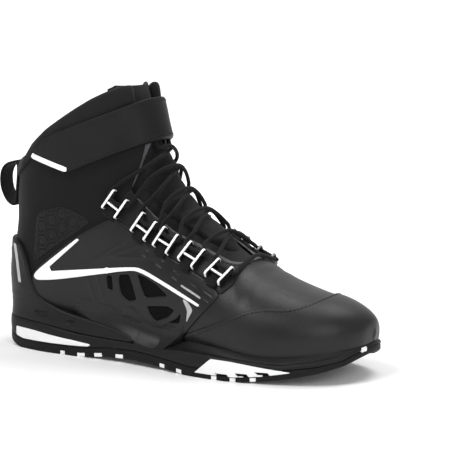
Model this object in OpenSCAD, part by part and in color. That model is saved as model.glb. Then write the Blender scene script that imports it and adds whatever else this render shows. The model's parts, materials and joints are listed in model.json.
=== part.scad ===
// Lace-up riding boot, right foot: +X to the toe, +Y to the inner side, +Z up, origin on the
// ground under the middle of the heel. A mirror of the whole model is the left boot.

/* [Size] */
// Overall scale of the boot, 1 is a men's EU 42
boot_scale = 1; // [0.9:0.01:1.1]

/* [Upper] */
// Thickness of the outer leather
leather = 2; // [1.6:0.1:2.2]
// Height that the overlaid panels stand out
overlay = 1.2; // [0.8:0.1:1.4]
// Height that the white stripe stands out over its panel
stripe_rise = 0.6; // [0.3:0.1:1]
// Height that the moulded heel cup stands out
cup_rise = 2.5; // [1.5:0.1:3]

/* [Sole] */
// Depth of the tread lugs
lug_depth = 3; // [2:0.5:3.5]
// Thickness of the outsole over the lugs
outsole_t = 3.5; // [3:0.5:4]
// How deep the white inserts sit in the side of the sole
insert_depth = 3; // [2:0.5:3.5]

/* [Closure] */
// Lace thickness
lace_d = 3; // [2.4:0.1:3.2]
// Inside width of the slot that the lace runs through in a keeper
keeper_slot = 4.4; // [4.2:0.1:4.6]
// Strap thickness
strap_t = 2.4; // [2:0.1:2.6]
// Width of the heel pull loop
loop_w = 16; // [12:1:20]
// Thickness of the pull loop's webbing
loop_t = 2; // [1.6:0.2:2.4]

/* [Fineness] */
// Distance between sections, in stations
STEP = 0.6; // [0.6:0.1:0.8]

/* [Hidden] */

// Sections of the upper, from the toe to the top of the shaft. Each lies in a plane through its
// low (or back) point and its high (or front) point, and is as wide as its two half widths.
// low x, low z, high x, high z, lateral width, medial width, middle y, place of the widest
// point along the chord, squareness below it, squareness above it
STATIONS = [
    [251, 28, 252, 34, 2, 2, 8, 0.42, 2.4, 2.2],
    [249, 22, 250, 42, 15, 13, 7, 0.42, 2.6, 2.2],
    [242, 17, 242, 49, 27, 23, 5, 0.40, 2.9, 2.2],
    [229, 14, 228, 55, 37, 33, 3, 0.38, 3.1, 2.2],
    [210, 12, 207, 60, 45, 40, 1, 0.36, 3.3, 2.2],
    [185, 11, 181, 69, 50, 45, -1, 0.34, 3.3, 2.2],
    [158, 12, 155, 83, 49, 45, -1, 0.33, 3.1, 2.2],
    [130, 15, 133, 98, 45, 42, 0, 0.33, 3.1, 2.2],
    [100, 18, 114, 112, 41, 38, 1, 0.35, 3.3, 2.2],
    [66, 21, 102, 124, 38, 35, 2, 0.38, 3.5, 2.2],
    [30, 22, 95, 135, 37, 34, 2, 0.42, 3.7, 2.2],
    [-8, 22, 91, 146, 36, 34, 1, 0.45, 3.7, 2.2],
    [-33, 26, 87, 155, 35, 34, 0, 0.48, 3.2, 2.2],
    [-42, 46, 84, 164, 36, 35, 0, 0.53, 2.4, 2.2],
    [-41, 68, 81, 173, 37, 36, 0, 0.53, 2.4, 2.2],
    [-38, 92, 78, 182, 38, 38, 0, 0.53, 2.3, 2.2],
    [-37, 114, 75, 191, 39, 39, 0, 0.53, 2.3, 2.2],
    [-34, 132, 72, 200, 40, 40, 0, 0.53, 2.3, 2.2],
    [-28, 150, 69, 209, 41, 41, 0, 0.53, 2.3, 2.2]
];
LAST = len(STATIONS) - 1;
// Angle between the points of a section
TURN = 15;

// Plan of the sole: x, lateral y, medial y
SOLE_PLAN = [
    [-44, -6, 6], [-41, -17, 17], [-32, -27, 27], [-16, -33, 33], [5, -37, 35], [35, -38, 33],
    [70, -41, 32], [100, -46, 34], [130, -52, 40], [158, -55, 46], [185, -53, 50],
    [210, -47, 48], [230, -38, 42], [244, -25, 32], [250, -12, 24], [253, 4, 12]
];
// Ground line of the tread from heel to toe, and top line of the midsole: x, z
GROUND = [
    [-46, 12], [-42, 7], [-34, 3], [-24, 0], [34, 0], [60, 3], [85, 4], [110, 2.5], [134, 0],
    [172, 0], [192, 2], [212, 5], [230, 9], [244, 13.5], [250, 18], [256, 22]
];
SOLE_TOP = [
    [-46, 24], [-38, 23], [2, 21], [31, 17], [61, 16], [84, 16], [103, 15], [125, 17], [152, 17],
    [180, 15.5], [206, 14], [226, 17], [240, 20], [250, 25], [256, 28]
];
// Where the upper turns under the foot
FEATHER = [
    [-60, 28], [-40, 28], [-20, 26], [70, 24], [100, 23], [130, 20], [160, 17], [200, 16],
    [225, 19], [245, 25], [264, 28]
];
// Top edge of the shaft, and the line where its padded collar starts
SHAFT_TOP = [
    [-60, 141], [-30, 143], [-15, 147], [-6, 158], [8, 169], [27, 181], [45, 192], [62, 201],
    [90, 206]
];
COLLAR_LOW = [
    [-60, 128], [-30, 129], [-8, 146], [10, 158], [27, 166], [52, 177], [70, 187], [90, 192]
];
// Front edges of the upper, on both sides of the tongue
THROAT = [
    [66, 216], [70, 193], [76, 177], [80, 160], [76, 140], [71, 125], [91, 108], [108, 98],
    [129, 90], [152, 79], [161, 77]
];
THROAT_FRONT = [[210, 120], [150, 216]];
// Panels of the side, seen from the side
PANEL = [
    [-12, 58], [13, 78], [34, 92], [49, 100], [60, 105], [64, 105], [79, 96], [99, 86], [121, 77],
    [142, 69], [152, 63], [157, 59], [150, 51], [137, 38], [126, 27], [122, 20], [84, 20],
    [60, 26], [30, 30], [12, 34], [-4, 41], [-8, 47]
];
CUP = [
    [-60, 84], [-25, 83], [-17, 71], [-12, 58], [-8, 47], [-4, 41], [12, 34], [30, 30],
    [60, 26], [84, 20], [84, 16], [61, 16], [31, 17], [2, 21], [-38, 23], [-46, 24],
    [-60, 24]
];
STRIPE_OUT = [
    [33.5, 87.5], [31.5, 88.5], [6.5, 70], [-8, 59], [-6.5, 55.5], [-2.5, 54.6], [16, 57], [43, 62.3],
    [77.5, 69], [86, 68.6], [103.5, 62.8], [122, 56], [140.4, 49.8]
];
STRIPE_IN = [
    [142, 51], [124, 57.9], [105, 65], [87.5, 71], [80, 71.6], [43, 66.8], [8.5, 62.4], [7, 65.5],
    [22.5, 78.3]
];
EYESTAY = [
    [58, 107], [71, 125], [91, 108], [108, 98], [129, 90], [152, 79], [161, 77], [164, 66],
    [157, 59], [152, 63], [142, 69], [121, 77], [99, 86], [79, 96], [64, 105]
];
TOE_SEAM = [
    [122, 20], [126, 27], [142, 34], [157, 40], [170, 46], [182, 51], [193, 52], [207, 51],
    [221, 56], [230, 66], [270, 66], [270, 0], [122, 0]
];
GUARD = [[-10, 66], [-4, 106], [18, 112], [44, 102], [34, 95], [12, 81]];
// Strap, seen from the side, from its cut end to the fold at the front of the ankle
STRAP = [
    [-5, 148], [26, 137], [51, 147], [87, 161], [106, 168], [96, 200], [77, 191], [52, 179],
    [10, 164]
];
STRAP_BASE = [
    [24, 138], [51, 147], [87, 161], [106, 168], [96, 200], [77, 191], [52, 179], [18, 167]
];
PATCH = [[2, 148], [27, 140], [50, 149], [48, 169], [27, 161], [10, 154]];
// Heel pull loop, seen from the side: outside of its teardrop
LOOP = [
    [-39.5, 137], [-47, 138], [-54, 134], [-57, 126], [-56, 116], [-51, 107], [-45, 104],
    [-41.5, 107], [-40.5, 116]
];

// Keepers from the top one down: station, angle round the section
KEEPERS = [[11.2, 119], [9.35, 122], [8.2, 126], [7.15, 131], [6.15, 135]];

// How far each layer is from the outside of the leather
inner_leather = -leather;
stiffener = inner_leather - 1.2;
lining_in = -5;
tongue_out = -5.6;
tongue_in = -8;
face_out = -1.5;
panel_out = overlay;
strap_in = 2.2;
strap_out = strap_in + strap_t;
hook_in = 1.3;
fold_y = -6;
fold_gap = 0.3;

// ---- Upper's surface ----

function smooth(a, b, c, d, t) =
    0.5 * (2 * b + (c - a) * t + (2 * a - 5 * b + 4 * c - d) * t * t
    + (3 * b - a - 3 * c + d) * t * t * t);

function at(list, i) = list[max(0, min(len(list) - 1, i))];

// A list of equal rows, read smoothly between its rows
function row(list, u) =
    let (i = floor(min(u, len(list) - 1.000001)), t = u - i)
    [for (k = [0 : len(list[0]) - 1])
        smooth(at(list, i - 1)[k], at(list, i)[k], at(list, i + 1)[k], at(list, i + 2)[k], t)];

// Point of the upper at station u and angle a round the section (0 low or back, 180 high or
// front), on side -1 (lateral) or 1 (medial), moved out by d
function skin(u, a, side, d) =
    let (
        s = row(STATIONS, u),
        low = [s[0], s[1]],
        chord = [s[2], s[3]] - low,
        size = norm(chord),
        along = chord / size,
        n = a <= 90 ? s[8] : s[9],
        c = pow(abs(cos(a)), 2 / n),
        w = pow(abs(sin(a)), 2 / n),
        t = a <= 90 ? s[7] * (1 - c) : s[7] + (1 - s[7]) * c,
        p = low - d * along + (size + 2 * d) * t * along,
        width = max((side < 0 ? s[4] : s[5]) + d, 0.5)
    )
    [p[0] + d * max(0, 1 - u / 3), s[6] + side * width * w, p[1]];

// The same point by the angle s the whole way round: 0 to 180 medial, 180 to 360 lateral
function around(u, s, d) =
    let (t = (s + 360) % 360)
    skin(u, t <= 180 ? t : 360 - t, t <= 180 ? 1 : -1, d);
function section(u, d) = [for (s = [0 : TURN : 359]) around(u, 360 - s, d)];

// Stations between two limits. A deeper surface starts further back from the tip of the toe.
function first_u(d) = d < 0 ? 0.2 - 0.16 * d : 0;
function stations(d, u0, u1) = concat(
    u0 == 0 ? [first_u(d)] : [],
    [for (i = [1 : floor(LAST / STEP)])
        if (i * STEP > first_u(d) + 0.25 && i * STEP > u0 - 0.01 && i * STEP < u1 + 0.01) i * STEP]
);
function sections(d, u0, u1) = [for (u = stations(d, u0, u1)) section(u, d)];
function reversed(list) = [for (i = [len(list) - 1 : -1 : 0]) list[i]];
function flat(list) = [for (a = list) each a];

// Two triangles between points a, b of one ring and c, d of the next. Turned, they meet on the
// other diagonal: inner faces are turned so that they lie flat on the layer below them.
function quad(a, b, c, d, turned) = turned ? [[a, c, b], [b, c, d]] : [[a, c, d], [a, d, b]];
// Walls of a loft: each ring joined to the next one. Rings from turned_i on, and points from
// turned_j on, belong to the inner side.
function walls(n, m, turned_i, turned_j) = [for (i = [0 : n - 2], j = [0 : m - 1])
    let (a = i * m + j, b = i * m + (j + 1) % m)
    each quad(a, b, a + m, b + m, i >= turned_i || j >= turned_j)];

// Solid through a list of rings with equal counts of points, closed by flat ends
module loft(rings, turned_i = 1000) {
    m = len(rings[0]);
    n = len(rings);
    polyhedron(
        points = flat(rings),
        faces = concat(
            [[for (j = [0 : m - 1]) j]],
            walls(n, m, turned_i, m),
            [[for (j = [m - 1 : -1 : 0]) (n - 1) * m + j]]
        )
    );
}
// Ring-shaped solid: the last ring is joined to the first
module loop_loft(rings, turned_i) {
    m = len(rings[0]);
    n = len(rings);
    polyhedron(
        points = flat(rings),
        faces = [for (i = [0 : n - 1], j = [0 : m - 1])
            let (k = (i + 1) % n, next = (j + 1) % m)
            each quad(i * m + j, i * m + next, k * m + j, k * m + next, i >= turned_i)]
    );
}

// Solid inside the surface at offset d
module body(d, u0 = 0, u1 = LAST) loft(sections(d, u0, u1));
// Shell between two offsets, closed round the toe and open at station u1
module cap_layer(d_in, d_out, u1)
    loft(concat(sections(d_out, 0, u1), reversed(sections(d_in, 0, u1))),
        len(stations(d_out, 0, u1)));
// Shell between two offsets, all the way round, from station u0 to u1
module sleeve(d_in, d_out, u0, u1)
    loop_loft(concat(sections(d_out, u0, u1), reversed(sections(d_in, u0, u1))),
        len(stations(d_out, u0, u1)));
// Patch of shell from station u0 to u1 and from angle s0 to s1
module patch(d_in, d_out, u0, u1, s0, s1) {
    angles = [for (s = [s1 : -TURN : s0]) s];
    rings = [for (u = stations(0, u0, u1)) concat(
        [for (s = angles) around(u, s, d_out)],
        [for (s = reversed(angles)) around(u, s, d_in)]
    )];
    m = len(rings[0]);
    n = len(rings);
    polyhedron(
        points = flat(rings),
        faces = concat(
            walls(n, m, n, m / 2),
            [for (k = [0 : m / 2 - 2]) each
                [[k, k + 1, m - 2 - k], [k, m - 2 - k, m - 1 - k]]],
            [for (k = [0 : m / 2 - 2]) let (e = (n - 1) * m) each
                [[e + k, e + m - 2 - k, e + k + 1], [e + k, e + m - 1 - k, e + m - 2 - k]]]
        )
    );
}

// Prism of a side outline, from y0 to y1
module prism(outline, y0, y1)
    translate([0, y1, 0]) rotate([90, 0, 0]) linear_extrude(y1 - y0) polygon(outline);
module both_sides(outline) prism(outline, -80, 80);
module lateral(outline) prism(outline, -80, 0);
module medial(outline) prism(outline, 0, 80);

// Outlines over and under a line, and in front of the throat
function over(line) = concat(line, [[300, 260], [-100, 260]]);
function under(line) = concat(line, [[300, -20], [-100, -20]]);
function between(low, high) = concat(low, reversed(high));
throat_outline = concat(THROAT, THROAT_FRONT);
shaft_outline = between(FEATHER, concat(COLLAR_LOW, [[300, 200]]));

// Every part of the boot is drawn through this, so that one size drives them all
module boot() scale(boot_scale) children();

// ---- Sole ----

PLAN_STEPS = 3;
function plan_edge(k) = [for (i = [0 : (len(SOLE_PLAN) - 1) * PLAN_STEPS])
    let (r = row(SOLE_PLAN, i / PLAN_STEPS)) [r[0], r[k]]];
plan_outline = concat(plan_edge(1), reversed(plan_edge(2)));
function raised(line, h) = [for (p = line) p + [0, h]];

// Block of the sole's plan between two side lines
module sole_block(low, high) {
    intersection() {
        linear_extrude(60) polygon(plan_outline);
        both_sides(between(low, high));
    }
}
// Skin of the lateral side of the sole, or of its medial side
module sole_side(side, outline) {
    difference() {
        intersection() {
            linear_extrude(60) polygon(plan_outline);
            prism(outline, side < 0 ? -80 : 0, side < 0 ? 0 : 80);
        }
        translate([0, -side * insert_depth, -1]) linear_extrude(62) polygon(plan_outline);
    }
}

// Skin of the sole at the tip of the toe
module sole_front(outline) {
    difference() {
        intersection() {
            linear_extrude(60) polygon(plan_outline);
            both_sides(outline);
        }
        translate([-insert_depth, 0, -1]) linear_extrude(62) polygon(plan_outline);
    }
}

HEEL_WEDGE = [
    [-28, 9], [-28, 16], [-8, 15.5], [16, 13], [45, 10.5], [42, 8.6], [25, 7.8], [2, 7.6], [-20, 7.4]
];
FORE_WEDGE = [
    [141, 3.4], [155, 15], [170, 14.5], [185, 13], [198, 11.5], [214, 9.6], [206, 8], [192, 5.6],
    [172, 3.4]
];
TOE_WEDGE = [[243, 21], [260, 29], [260, 24], [246, 20]];

// Top of the outsole: it thins under the toe, where it starts at TOE_X
TOE_X = 205;
TOE_SLOPE = 12;
TOE_THINNEST = 0.7;
outsole_top = [for (p = GROUND)
    p + [0, lug_depth + max(TOE_THINNEST, outsole_t - max(0, p[0] - TOE_X) / TOE_SLOPE)]];
module outsole() {
    color("#1c1c1e") boot() difference() {
        sole_block(raised(GROUND, lug_depth), outsole_top);
        inserts();
    }
}

// Short white lugs along the edge of the sole: rear end and length of each. Those in front of
// CHIP_BOTH stand between the black lugs of the forefoot, on the lateral side alone
CHIPS = [
    [16.6, 4], [31.8, 7], [47.5, 7], [67, 7], [108.8, 4.6], [124.4, 4.8], [155.2, 4.4],
    [170, 4.4], [185, 4.4]
];
CHIP_BOTH = 100;
CHIP_GAP = 0.3;
module chip_prism(chip, gap) prism([
    [chip[0] - gap, -1], [chip[0] + chip[1] + gap, -1],
    [chip[0] + chip[1] + gap, 20], [chip[0] - gap, 20]
], -80, chip[0] < CHIP_BOTH ? 80 : 0);
module tread_chips() {
    color("white") boot() for (side = [-1, 1], chip = CHIPS) intersection() {
        sole_side(side, between(GROUND, raised(GROUND, lug_depth)));
        chip_prism(chip, 0);
    }
}

// Lugs: slanted bars across the heel and the forefoot, and a rim that joins their ends
LUG_PITCH = 15;
LUG_W = 9;
LUG_SLANT = 12;
LUG_X = [for (i = [-2 : 1]) i * LUG_PITCH, for (i = [6 : 14]) i * LUG_PITCH];
RIM_W = 4;
module tread_lugs() {
    color("#2a2a2c") boot() intersection() {
        sole_block(GROUND, raised(GROUND, lug_depth));
        difference() {
            union() {
                for (x = LUG_X, side = [-1, 1])
                    linear_extrude(40) polygon([
                        [x, side * 2], [x + LUG_W, side * 2],
                        [x + LUG_W + LUG_SLANT, side * 62], [x + LUG_SLANT, side * 62]
                    ]);
                translate([-12, -12, 0]) cube([24, 24, 20]);
                linear_extrude(40) difference() {
                    polygon(plan_outline);
                    offset(delta = -RIM_W) polygon(plan_outline);
                }
            }
            for (chip = CHIPS, side = [-1, 1]) intersection() {
                chip_prism(chip, CHIP_GAP);
                sole_side(side, under([[-60, 50], [260, 50]]));
            }
            toe_mark();
        }
    }
}

// Short mark on the lateral side of the toe's tip
module toe_mark() {
    intersection() {
        sole_front(TOE_WEDGE);
        translate([240, -10, 0]) cube([30, 6, 60]);
    }
}
module inserts() {
    for (side = [-1, 1]) sole_side(side, HEEL_WEDGE);
    sole_side(-1, FORE_WEDGE);
    toe_mark();
}
module midsole() {
    color("#232325") boot() difference() {
        sole_block(outsole_top, SOLE_TOP);
        body(0, 0, 14.4);
        inserts();
        shank_plate();
    }
}
module heel_insert() {
    color("white") boot() for (side = [-1, 1]) sole_side(side, HEEL_WEDGE);
}
module forefoot_insert() {
    color("white") boot() sole_side(-1, FORE_WEDGE);
}
module toe_insert() {
    color("white") boot() difference() {
        toe_mark();
        body(0, 0, 3);
    }
}
module shank_plate() {
    translate([20, -3, 11]) cylinder(d = 20, h = 2.4);
    translate([20, -13, 11]) cube([84, 20, 2.4]);
    translate([104, -3, 11]) cylinder(d = 20, h = 2.4);
}
module shank() {
    color("#9a9a9a") boot() shank_plate();
}

module insole_board() {
    color("#6b5a45") boot() intersection() {
        patch(inner_leather, 0, 1.2, 14.4, -75, 75);
        both_sides(under(FEATHER));
    }
}
FOOTBED_TOP = [[-60, 34], [0, 31], [70, 29], [110, 27], [150, 22], [200, 21], [264, 26]];
module footbed() {
    color("#3a3a3c") boot() intersection() {
        body(lining_in, 0, 13.8);
        both_sides(under(FOOTBED_TOP));
    }
}

// ---- Upper ----

// Joint line between the vamp and the quarters, under the side panels
VAMP_REAR = [[162, 90], [158, 74], [126, 10]];
vamp_outline = concat(VAMP_REAR, [[300, -20], [300, 120]]);
quarter_outline = concat(VAMP_REAR, [[-100, -20], [-100, 260], [300, 260]]);

module vamp() {
    color("#343436") boot() difference() {
        intersection() {
            cap_layer(inner_leather, 0, 7.8);
            both_sides(vamp_outline);
            both_sides(over(FEATHER));
        }
        both_sides(throat_outline);
    }
}
module quarter(s0) {
    color("#2d2d2f") boot() difference() {
        intersection() {
            patch(inner_leather, 0, 5.4, LAST, s0, s0 + 180);
            both_sides(quarter_outline);
            both_sides(shaft_outline);
        }
        both_sides(throat_outline);
    }
}
module quarter_lateral() quarter(180);
module quarter_medial() quarter(0);

module toe_cap() {
    color("#3b3b3d") boot() intersection() {
        cap_layer(0, panel_out, 7.8);
        both_sides(TOE_SEAM);
        both_sides(over(SOLE_TOP));
    }
}

PUFF = [[205, 0], [300, 0], [300, 100], [205, 100]];
COUNTER = [[20, 0], [20, 60], [-10, 90], [-100, 90], [-100, 0]];
CUP_CENTRE = [24, 102];
CUP_R = 22;
module toe_puff() {
    color("#8a8478") boot() intersection() {
        cap_layer(stiffener, inner_leather, 4.8);
        both_sides(PUFF);
        both_sides(over(FEATHER));
    }
}
module heel_counter() {
    color("#8a8478") boot() intersection() {
        patch(stiffener, inner_leather, 9.6, 15, -90, 90);
        both_sides(COUNTER);
        both_sides(over(FEATHER));
    }
}
module ankle_discs() {
    translate([CUP_CENTRE[0], -80, CUP_CENTRE[1]]) rotate([-90, 0, 0])
        cylinder(r = CUP_R, h = 160, $fn = 64);
}
module padding() {
    color("#5a5a5c") boot() difference() {
        intersection() {
            sleeve(stiffener, inner_leather, 5.4, LAST);
            both_sides(quarter_outline);
            both_sides(shaft_outline);
        }
        both_sides(COUNTER);
        both_sides(throat_outline);
        ankle_discs();
    }
}
module ankle_cups() {
    color("#c26a2c") boot() intersection() {
        union() {
            patch(stiffener, inner_leather, 10.2, 16.2, 45, 135);
            patch(stiffener, inner_leather, 10.2, 16.2, 225, 315);
        }
        ankle_discs();
    }
}
module vamp_lining() {
    color("#1f1f21") boot() difference() {
        intersection() {
            cap_layer(lining_in, stiffener, 7.8);
            both_sides(vamp_outline);
            both_sides(over(FEATHER));
        }
        both_sides(throat_outline);
    }
}
module quarter_lining() {
    color("#1f1f21") boot() difference() {
        intersection() {
            sleeve(lining_in, stiffener, 5.4, LAST);
            both_sides(quarter_outline);
            both_sides(shaft_outline);
        }
        both_sides(throat_outline);
    }
}
COLLAR_IN = -5;
COLLAR_OUT = 1.5;
module collar() {
    color("#262628") boot() difference() {
        intersection() {
            sleeve(COLLAR_IN, COLLAR_OUT, 14.4, LAST);
            both_sides(between(COLLAR_LOW, SHAFT_TOP));
        }
        both_sides(throat_outline);
    }
}
module backstay() {
    color("#252527") boot() intersection() {
        patch(0, panel_out, 13.8, 17.4, -45, 45);
        prism([[-60, 84], [-20, 84], [-20, 128], [-60, 127]], -11, 11);
    }
}
CUP_SKIRT = [
    [-60, 24], [-46, 24], [-38, 23], [2, 21], [31, 17], [61, 16], [84, 16], [84, 20], [60, 26], [30, 30],
    [-60, 30]
];
REFLECTOR = [[-30, 79], [-26.5, 79], [-20.5, 50], [-24, 50]];
module reflector_prism() prism(REFLECTOR, -40, -10);
module heel_cup() {
    color("#2a2a2c") boot() difference() {
        union() {
            intersection() {
                patch(0, cup_rise, 8.4, 15, -90, 90);
                both_sides(CUP);
            }
            intersection() {
                linear_extrude(60) polygon(plan_outline);
                both_sides(CUP_SKIRT);
            }
        }
        body(0, 8.4, 14.4);
        reflector_prism();
    }
}
module heel_reflector() {
    color("#b8b8bc") boot() intersection() {
        patch(0, cup_rise, 12, 15, -75, -15);
        reflector_prism();
    }
}

// Vents: slanted windows that narrow towards the front, under the stripe
VENTS = [
    [[57, 63], [61.5, 63.5], [62.5, 53], [58, 53]],
    [[68, 64.5], [76.5, 65.5], [79.5, 58.5], [83.5, 48], [75.5, 46], [69.5, 51], [67.7, 59]],
    [[84, 66.5], [92, 64.5], [102, 60.5], [112, 54], [91.5, 50.5], [88, 57]],
    [[93.5, 44.4], [112.5, 46.5], [118.5, 44.5], [113, 39], [100.5, 34], [95.5, 39.3]],
    [[108, 31.8], [121.4, 39], [124.6, 43], [123.6, 37], [118.4, 32]]
];
module vents() for (v = VENTS) lateral(v);
module stripe_prism() lateral(concat(STRIPE_OUT, STRIPE_IN));

module side_panel(s0) {
    intersection() {
        patch(0, panel_out, 5.4, 12.6, s0, s0 + 120);
        both_sides(PANEL);
    }
}
// The lateral panel runs down over the side of the sole at the arch
ARCH_WING = [[60, 26], [84, 20], [84, 16], [103, 15], [122, 16.8], [122, 20], [126, 27], [84, 30]];
module side_panel_lateral() {
    color("#303032") boot() difference() {
        union() {
            side_panel(225);
            intersection() {
                linear_extrude(60) polygon(plan_outline);
                lateral(ARCH_WING);
            }
        }
        body(0, 6.6, 10.2);
        vents();
    }
}
module side_panel_medial() {
    color("#303032") boot() side_panel(15);
}
module vent_mesh() {
    color("#141416") boot() intersection() {
        patch(0, 0.5, 6.6, 10.2, 240, 345);
        vents();
    }
}
module stripe() {
    color("white") boot() intersection() {
        patch(panel_out, panel_out + stripe_rise, 6, 12.6, 240, 330);
        stripe_prism();
    }
}
module panel_reflectors() {
    color("#c9c9cc") boot() intersection() {
        patch(panel_out, panel_out + 0.4, 6, 7.8, 240, 330);
        union() {
            lateral([[124, 62], [142, 55], [142, 56.5], [124, 63.5]]);
            lateral([[126, 54], [131, 52], [136, 47], [130, 37], [131, 46]]);
        }
    }
}
// Ankle guard with grooves between its moulded cells
GROOVE = [[-20, 80], [50, 84], [50, 85.4], [-20, 81.4]];
module ankle_guard() {
    color("#29292b") boot() difference() {
        intersection() {
            patch(0, 1.4, 10.8, 15.6, 225, 330);
            lateral(GUARD);
        }
        intersection() {
            patch(0.8, 2, 10.8, 15.6, 240, 315);
            for (k = [0 : 2]) lateral(raised(GROOVE, 10 * k));
        }
    }
}
module eyestay(s0) {
    color("#2b2b2d") boot() intersection() {
        patch(0, panel_out, 5.4, 12, s0, s0 + 90);
        both_sides(EYESTAY);
    }
}
module eyestay_lateral() eyestay(180);
module eyestay_medial() eyestay(90);

// ---- Lacing ----

function unit(v) = v / norm(v);
KEEPER_BASE = 1.4;
function keeper_at(i, side) = skin(KEEPERS[i][0], KEEPERS[i][1], side, KEEPER_BASE);
// Axes of keeper i: down its row, towards the tongue, and out from the upper
function keeper_axes(i, side) =
    let (
        u = KEEPERS[i][0], a = KEEPERS[i][1], p = keeper_at(i, side),
        across = skin(u, a + 4, side, KEEPER_BASE) - p,
        down = keeper_at(min(i + 1, 4), side) - keeper_at(max(i - 1, 0), side),
        out = unit(side * cross(across, down)),
        x = unit(down - (down * out) * out)
    )
    [x, side * cross(out, x) * -1, out];
function keeper_point(i, side, v) =
    let (f = keeper_axes(i, side))
    keeper_at(i, side) + v[0] * f[0] + v[1] * f[1] + v[2] * f[2];

// Draws its children in the axes of keeper i. On the medial side they come out mirrored.
module at_keeper(i, side) {
    f = keeper_axes(i, side);
    p = keeper_at(i, side);
    y = side < 0 ? f[1] : -f[1];
    multmatrix([
        [f[0][0], y[0], f[2][0], p[0]],
        [f[0][1], y[1], f[2][1], p[1]],
        [f[0][2], y[2], f[2][2], p[2]]
    ]) mirror([0, side < 0 ? 0 : 1, 0]) children();
}

CHEEK_X = 6.2;
CHEEK_W = 2.6;
CHEEK_H = 5.4;
CHEEK_REAR = 8;
CHEEK_FRONT = 8.5;
TUNNEL_Y = 5;
TUNNEL_Z = 2.9;
module keeper() {
    difference() {
        for (s = [-1, 1])
            translate([s * CHEEK_X - CHEEK_W / 2, -CHEEK_REAR, 0])
                cube([CHEEK_W, CHEEK_REAR + CHEEK_FRONT, CHEEK_H]);
        translate([-10, TUNNEL_Y, TUNNEL_Z]) rotate([0, 90, 0]) cylinder(d = keeper_slot, h = 20, $fn = 48);
    }
    translate([-CHEEK_X, -3, 1.4]) cube([2 * CHEEK_X, 2.6, 3.2]);
}
module keepers_lateral() {
    color("white") boot() for (i = [0 : 4]) at_keeper(i, -1) keeper();
}
module keepers_medial() {
    color("#5c5c60") boot() for (i = [0 : 4]) at_keeper(i, 1) keeper();
}
module keeper_tabs() {
    color("#1a1a1c") boot() for (i = [0 : 4], side = [-1, 1])
        at_keeper(i, side) translate([-4.6, -12, 0]) cube([9.2, 13, 1.2]);
}

// The lace runs down one side and up the other: in at one end of each keeper's slot, out at
// the other, and across the tongue to the next keeper on the far side
TUNNEL_END = 8.4;
function run(i, side, way) = [
    keeper_point(i, side, [-way * TUNNEL_END, TUNNEL_Y, TUNNEL_Z]),
    keeper_point(i, side, [way * TUNNEL_END, TUNNEL_Y, TUNNEL_Z])
];
// Leg of the lace from keeper row i on one side over the tongue to row i + 1 on the other
ARCH = 150;
ARCH_RISE = 3.2;
CROSS_LOW = 2;
CROSS_HIGH = 5.4;
function station_of(i) = i < 0 ? 13 : i > 4 ? 5.3 : KEEPERS[i][0];
function leg(i, side) =
    let (u = station_of(i), step = station_of(i + 1) - u)
    [
        skin(u + step / 4, ARCH, side, ARCH_RISE),
        skin(u + step / 2, 180, side, side < 0 ? CROSS_HIGH : CROSS_LOW),
        skin(u + step * 3 / 4, ARCH, -side, ARCH_RISE)
    ];
// Half of the lace, from the top keeper on the given side down to the lowest one
function lace_half(first) = [for (i = [0 : 4])
    let (side = i % 2 == 0 ? first : -first)
    each concat(run(i, side, 1), i < 4 ? leg(i, side) : [])];
// The ends cross over the tongue and are tucked up behind the strap
function lace_end(side) = [
    skin(13.9, 168, side, -0.1), skin(13, 168, side, -0.1), skin(12.3, 168, side, 0.1),
    skin(11.7, 180, side, side < 0 ? CROSS_HIGH : CROSS_LOW), skin(11.5, ARCH, -side, ARCH_RISE)
];
// The lace crosses the foot of the tongue once, between the lowest keepers
LACE_BAR_U = 5.7;
lace_bar = [
    skin(LACE_BAR_U, ARCH, -1, ARCH_RISE), skin(LACE_BAR_U, 180, 1, ARCH_RISE),
    skin(LACE_BAR_U, ARCH, 1, ARCH_RISE)
];
lace_route = concat(
    lace_end(1), lace_half(-1), lace_bar, reversed(lace_half(1)), reversed(lace_end(-1))
);

LACE_STEPS = 1.5;
LACE_SIDES = 8;
function lace_at(t) = row(lace_route, t);
function tube_ring(p, dir, r) =
    let (
        d = unit(dir), a = unit(cross(d, [0.5, 0.1, 0.86])), b = cross(a, d)
    )
    [for (k = [0 : LACE_SIDES - 1]) p + r * (cos(45 * k) * a - sin(45 * k) * b)];
module tube(points, r) {
    n = len(points) - 1;
    loft([for (i = [0 : n])
        tube_ring(points[i], points[min(i + 1, n)] - points[max(i - 1, 0)], r)]);
}
lace_points = [for (i = [0 : floor((len(lace_route) - 1) * LACE_STEPS)]) lace_at(i / LACE_STEPS)];
module lace() {
    color("#19191b") boot() tube(lace_points, lace_d / 2);
}
AGLET = 12;
module aglets() {
    color("#19191b") boot() for (side = [-1, 1]) {
        p = lace_end(side)[0];
        q = lace_end(side)[1];
        tube([p, p + AGLET * unit(p - q)], lace_d / 2 - 0.2);
    }
}

// ---- Tongue ----

TONGUE_BACK = [
    [54, 216], [58, 190], [63, 175], [66, 158], [62, 140], [58, 122], [82, 99], [104, 88],
    [127, 80], [150, 71], [163, 71]
];
TONGUE_TOP = 204;
module tongue() {
    color("#242426") boot() intersection() {
        patch(tongue_in, tongue_out, 5.4, LAST, 105, 255);
        both_sides(concat(TONGUE_BACK, [[172, 90], [210, 120], [150, 216]]));
        both_sides(under([[-60, TONGUE_TOP], [250, TONGUE_TOP]]));
    }
}
TONGUE_FACE = [
    [72, 216], [76, 193], [82, 177], [86, 160], [82, 141], [80, 131], [95, 116], [111, 106],
    [132, 96], [151, 86], [156, 84]
];
module tongue_face() {
    color("#2c2c2e") boot() intersection() {
        patch(tongue_out, face_out, 5.4, LAST, 105, 255);
        both_sides(concat(TONGUE_FACE, THROAT_FRONT));
        both_sides(under([[-60, TONGUE_TOP], [250, TONGUE_TOP]]));
    }
}
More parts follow.
